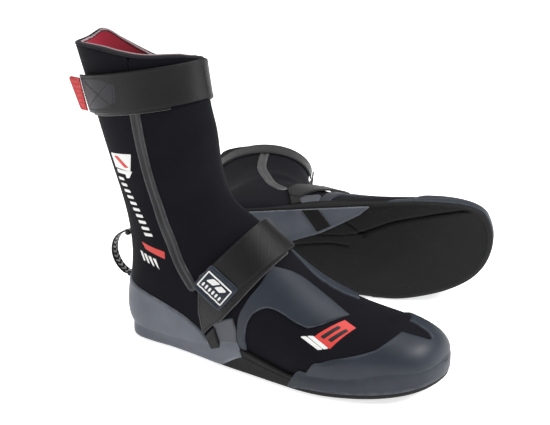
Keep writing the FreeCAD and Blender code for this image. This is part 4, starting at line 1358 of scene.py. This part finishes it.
def badge_print(name, spots, grow=8.0, **more):
    """A print on the badge, in millimetres along its long and short ways from its middle."""
    decal("badge_" + name, [BADGE_MIDDLE + BADGE_X * a + BADGE_Y * b for a, b in spots], INK_WHITE,
          "badge_rubber", "instep_strap", grow, **more)


FRAME_X, FRAME_Y, FRAME_LINE = 14.3, 7.9, 0.5
for name, (x0, x1, y0, y1) in {
        "top": (-FRAME_X, FRAME_X, FRAME_Y - FRAME_LINE, FRAME_Y),
        "low": (-FRAME_X, FRAME_X, -FRAME_Y, FRAME_LINE - FRAME_Y),
        "back": (-FRAME_X, FRAME_LINE - FRAME_X, -FRAME_Y, FRAME_Y),
        "front": (FRAME_X - FRAME_LINE, FRAME_X, -FRAME_Y, FRAME_Y)}.items():
    badge_print("frame_" + name, ((x0, y0), (x1, y0), (x1, y1), (x0, y1)), 8.15)
badge_print("bar_back", ((-10, 0.6), (-6, 5.2), (1, 5.8), (-3, 1.2)))
badge_print("bar_front", ((0, 0.8), (4.0, 5.0), (10, 4.6), (6.0, 0.5)))
for k in range(6):
    x = -11.2 + 4.0 * k
    badge_print(f"tick_{k + 1}", ((x, -5.6), (x + 1.7, -5.6), (x + 1.7, -2.2), (x, -2.2)), round_by=0.2)

# The strap's sewn end: a doubled patch of paler webbing with a box and a cross of stitches.
END_BACK, END_FRONT = -35.0, 12.5
strap_end = skin("ankle_strap_end",
                 lambda p: least(slab(p) - 0.6, between(p, END_BACK, END_FRONT), lateral_side(p)),
                 5.0, 5.8, step=1.2, radius=0.9, marks=(3.0,), texture=strap_cloth)
both(strap_end, STRAP_END, "webbing", "ankle_strap")
sew("strap_end_box", strap_end.seams, "ankle_strap")
STRAP_TREE = form_tree(5.85)


def draped(height_back, height_front, steps=40):
    """A line across the strap's end, from one height over its lower edge to another."""
    points, normals = [], []
    for share in np.linspace(0, 1, steps):
        x = -30.0 + 39.0 * share
        height = height_back + (height_front - height_back) * share
        start = Vector((x, -90.0, STRAP_LOW + STRAP_SLOPE * x + height))
        spot, normal, _, _ = STRAP_TREE.ray_cast(start, Vector((0, 1, 0)))
        if spot is not None:
            points.append(tuple(spot))
            normals.append(tuple(normal if normal.y < 0 else -normal))
    return np.array(points), np.array(normals)


sew("strap_end_cross", [draped(5, 31), draped(31, 5)], "ankle_strap")

# ------------------------------------------------------------------ floor, light and camera


def stage_floor():
    mesh = bpy.data.meshes.new("floor")
    half, z = 14.0, -0.0006
    corners = [(-half, -half, z), (half, -half, z), (half, half, z), (-half, half, z)]
    mesh.from_pydata(corners, [], [(0, 1, 2, 3)])
    floor = bpy.data.objects.new("floor", mesh)
    bpy.context.scene.collection.objects.link(floor)
    p = Paint("studio_floor")
    fine = p.noise(p.object_place(), 0.02, 3.0)
    p.set(Base_Color=p.mix(fine, (0.93, 0.93, 0.93), (0.9, 0.9, 0.9)), Roughness=0.8, Specular_IOR_Level=0.1,
          Emission_Color=(1.0, 1.0, 1.0), Emission_Strength=0.72)
    mesh.materials.append(p.material)


def soft_light(name, place, target, size, power):
    light = bpy.data.lights.new(name, "AREA")
    light.shape, light.size, light.energy = "DISK", size, power
    lamp = bpy.data.objects.new(name, light)
    lamp.location = place
    lamp.rotation_euler = (Vector(target) - Vector(place)).to_track_quat("-Z", "Y").to_euler()
    bpy.context.scene.collection.objects.link(lamp)


stage_floor()
soft_light("key_light", (1.45, 0.1, 1.2), (0.12, 0.03, 0.12), 0.6, 27.0)
soft_light("top_light", (0.1, 0.2, 1.9), (0.1, 0.1, 0.0), 1.2, 18.0)
soft_light("left_light", (-1.2, -0.9, 0.7), (-0.03, 0.0, 0.08), 0.6, 6.0)
world = bpy.data.worlds.new("studio")
bpy.context.scene.world = world
world.use_nodes = True
sky = world.node_tree.nodes["Background"].inputs
sky["Color"].default_value = (1.0, 1.0, 1.0, 1.0)
sky["Strength"].default_value = 0.35

EYE = Vector((0.4973, -0.7517, 0.4509))
view = Vector((-0.4316, 0.8326, -0.3471)).normalized()
right = Vector((0.8878, 0.4602, 0.0)).normalized()
camera = bpy.data.cameras.new("camera")
camera.lens, camera.sensor_width = 66.96, 36.0
camera_object = bpy.data.objects.new("camera", camera)
camera_object.matrix_world = Matrix((right, right.cross(view), -view)).transposed().to_4x4()
camera_object.location = EYE
bpy.context.scene.collection.objects.link(camera_object)
bpy.context.scene.camera = camera_object
bpy.context.scene.view_settings.view_transform = "Standard"
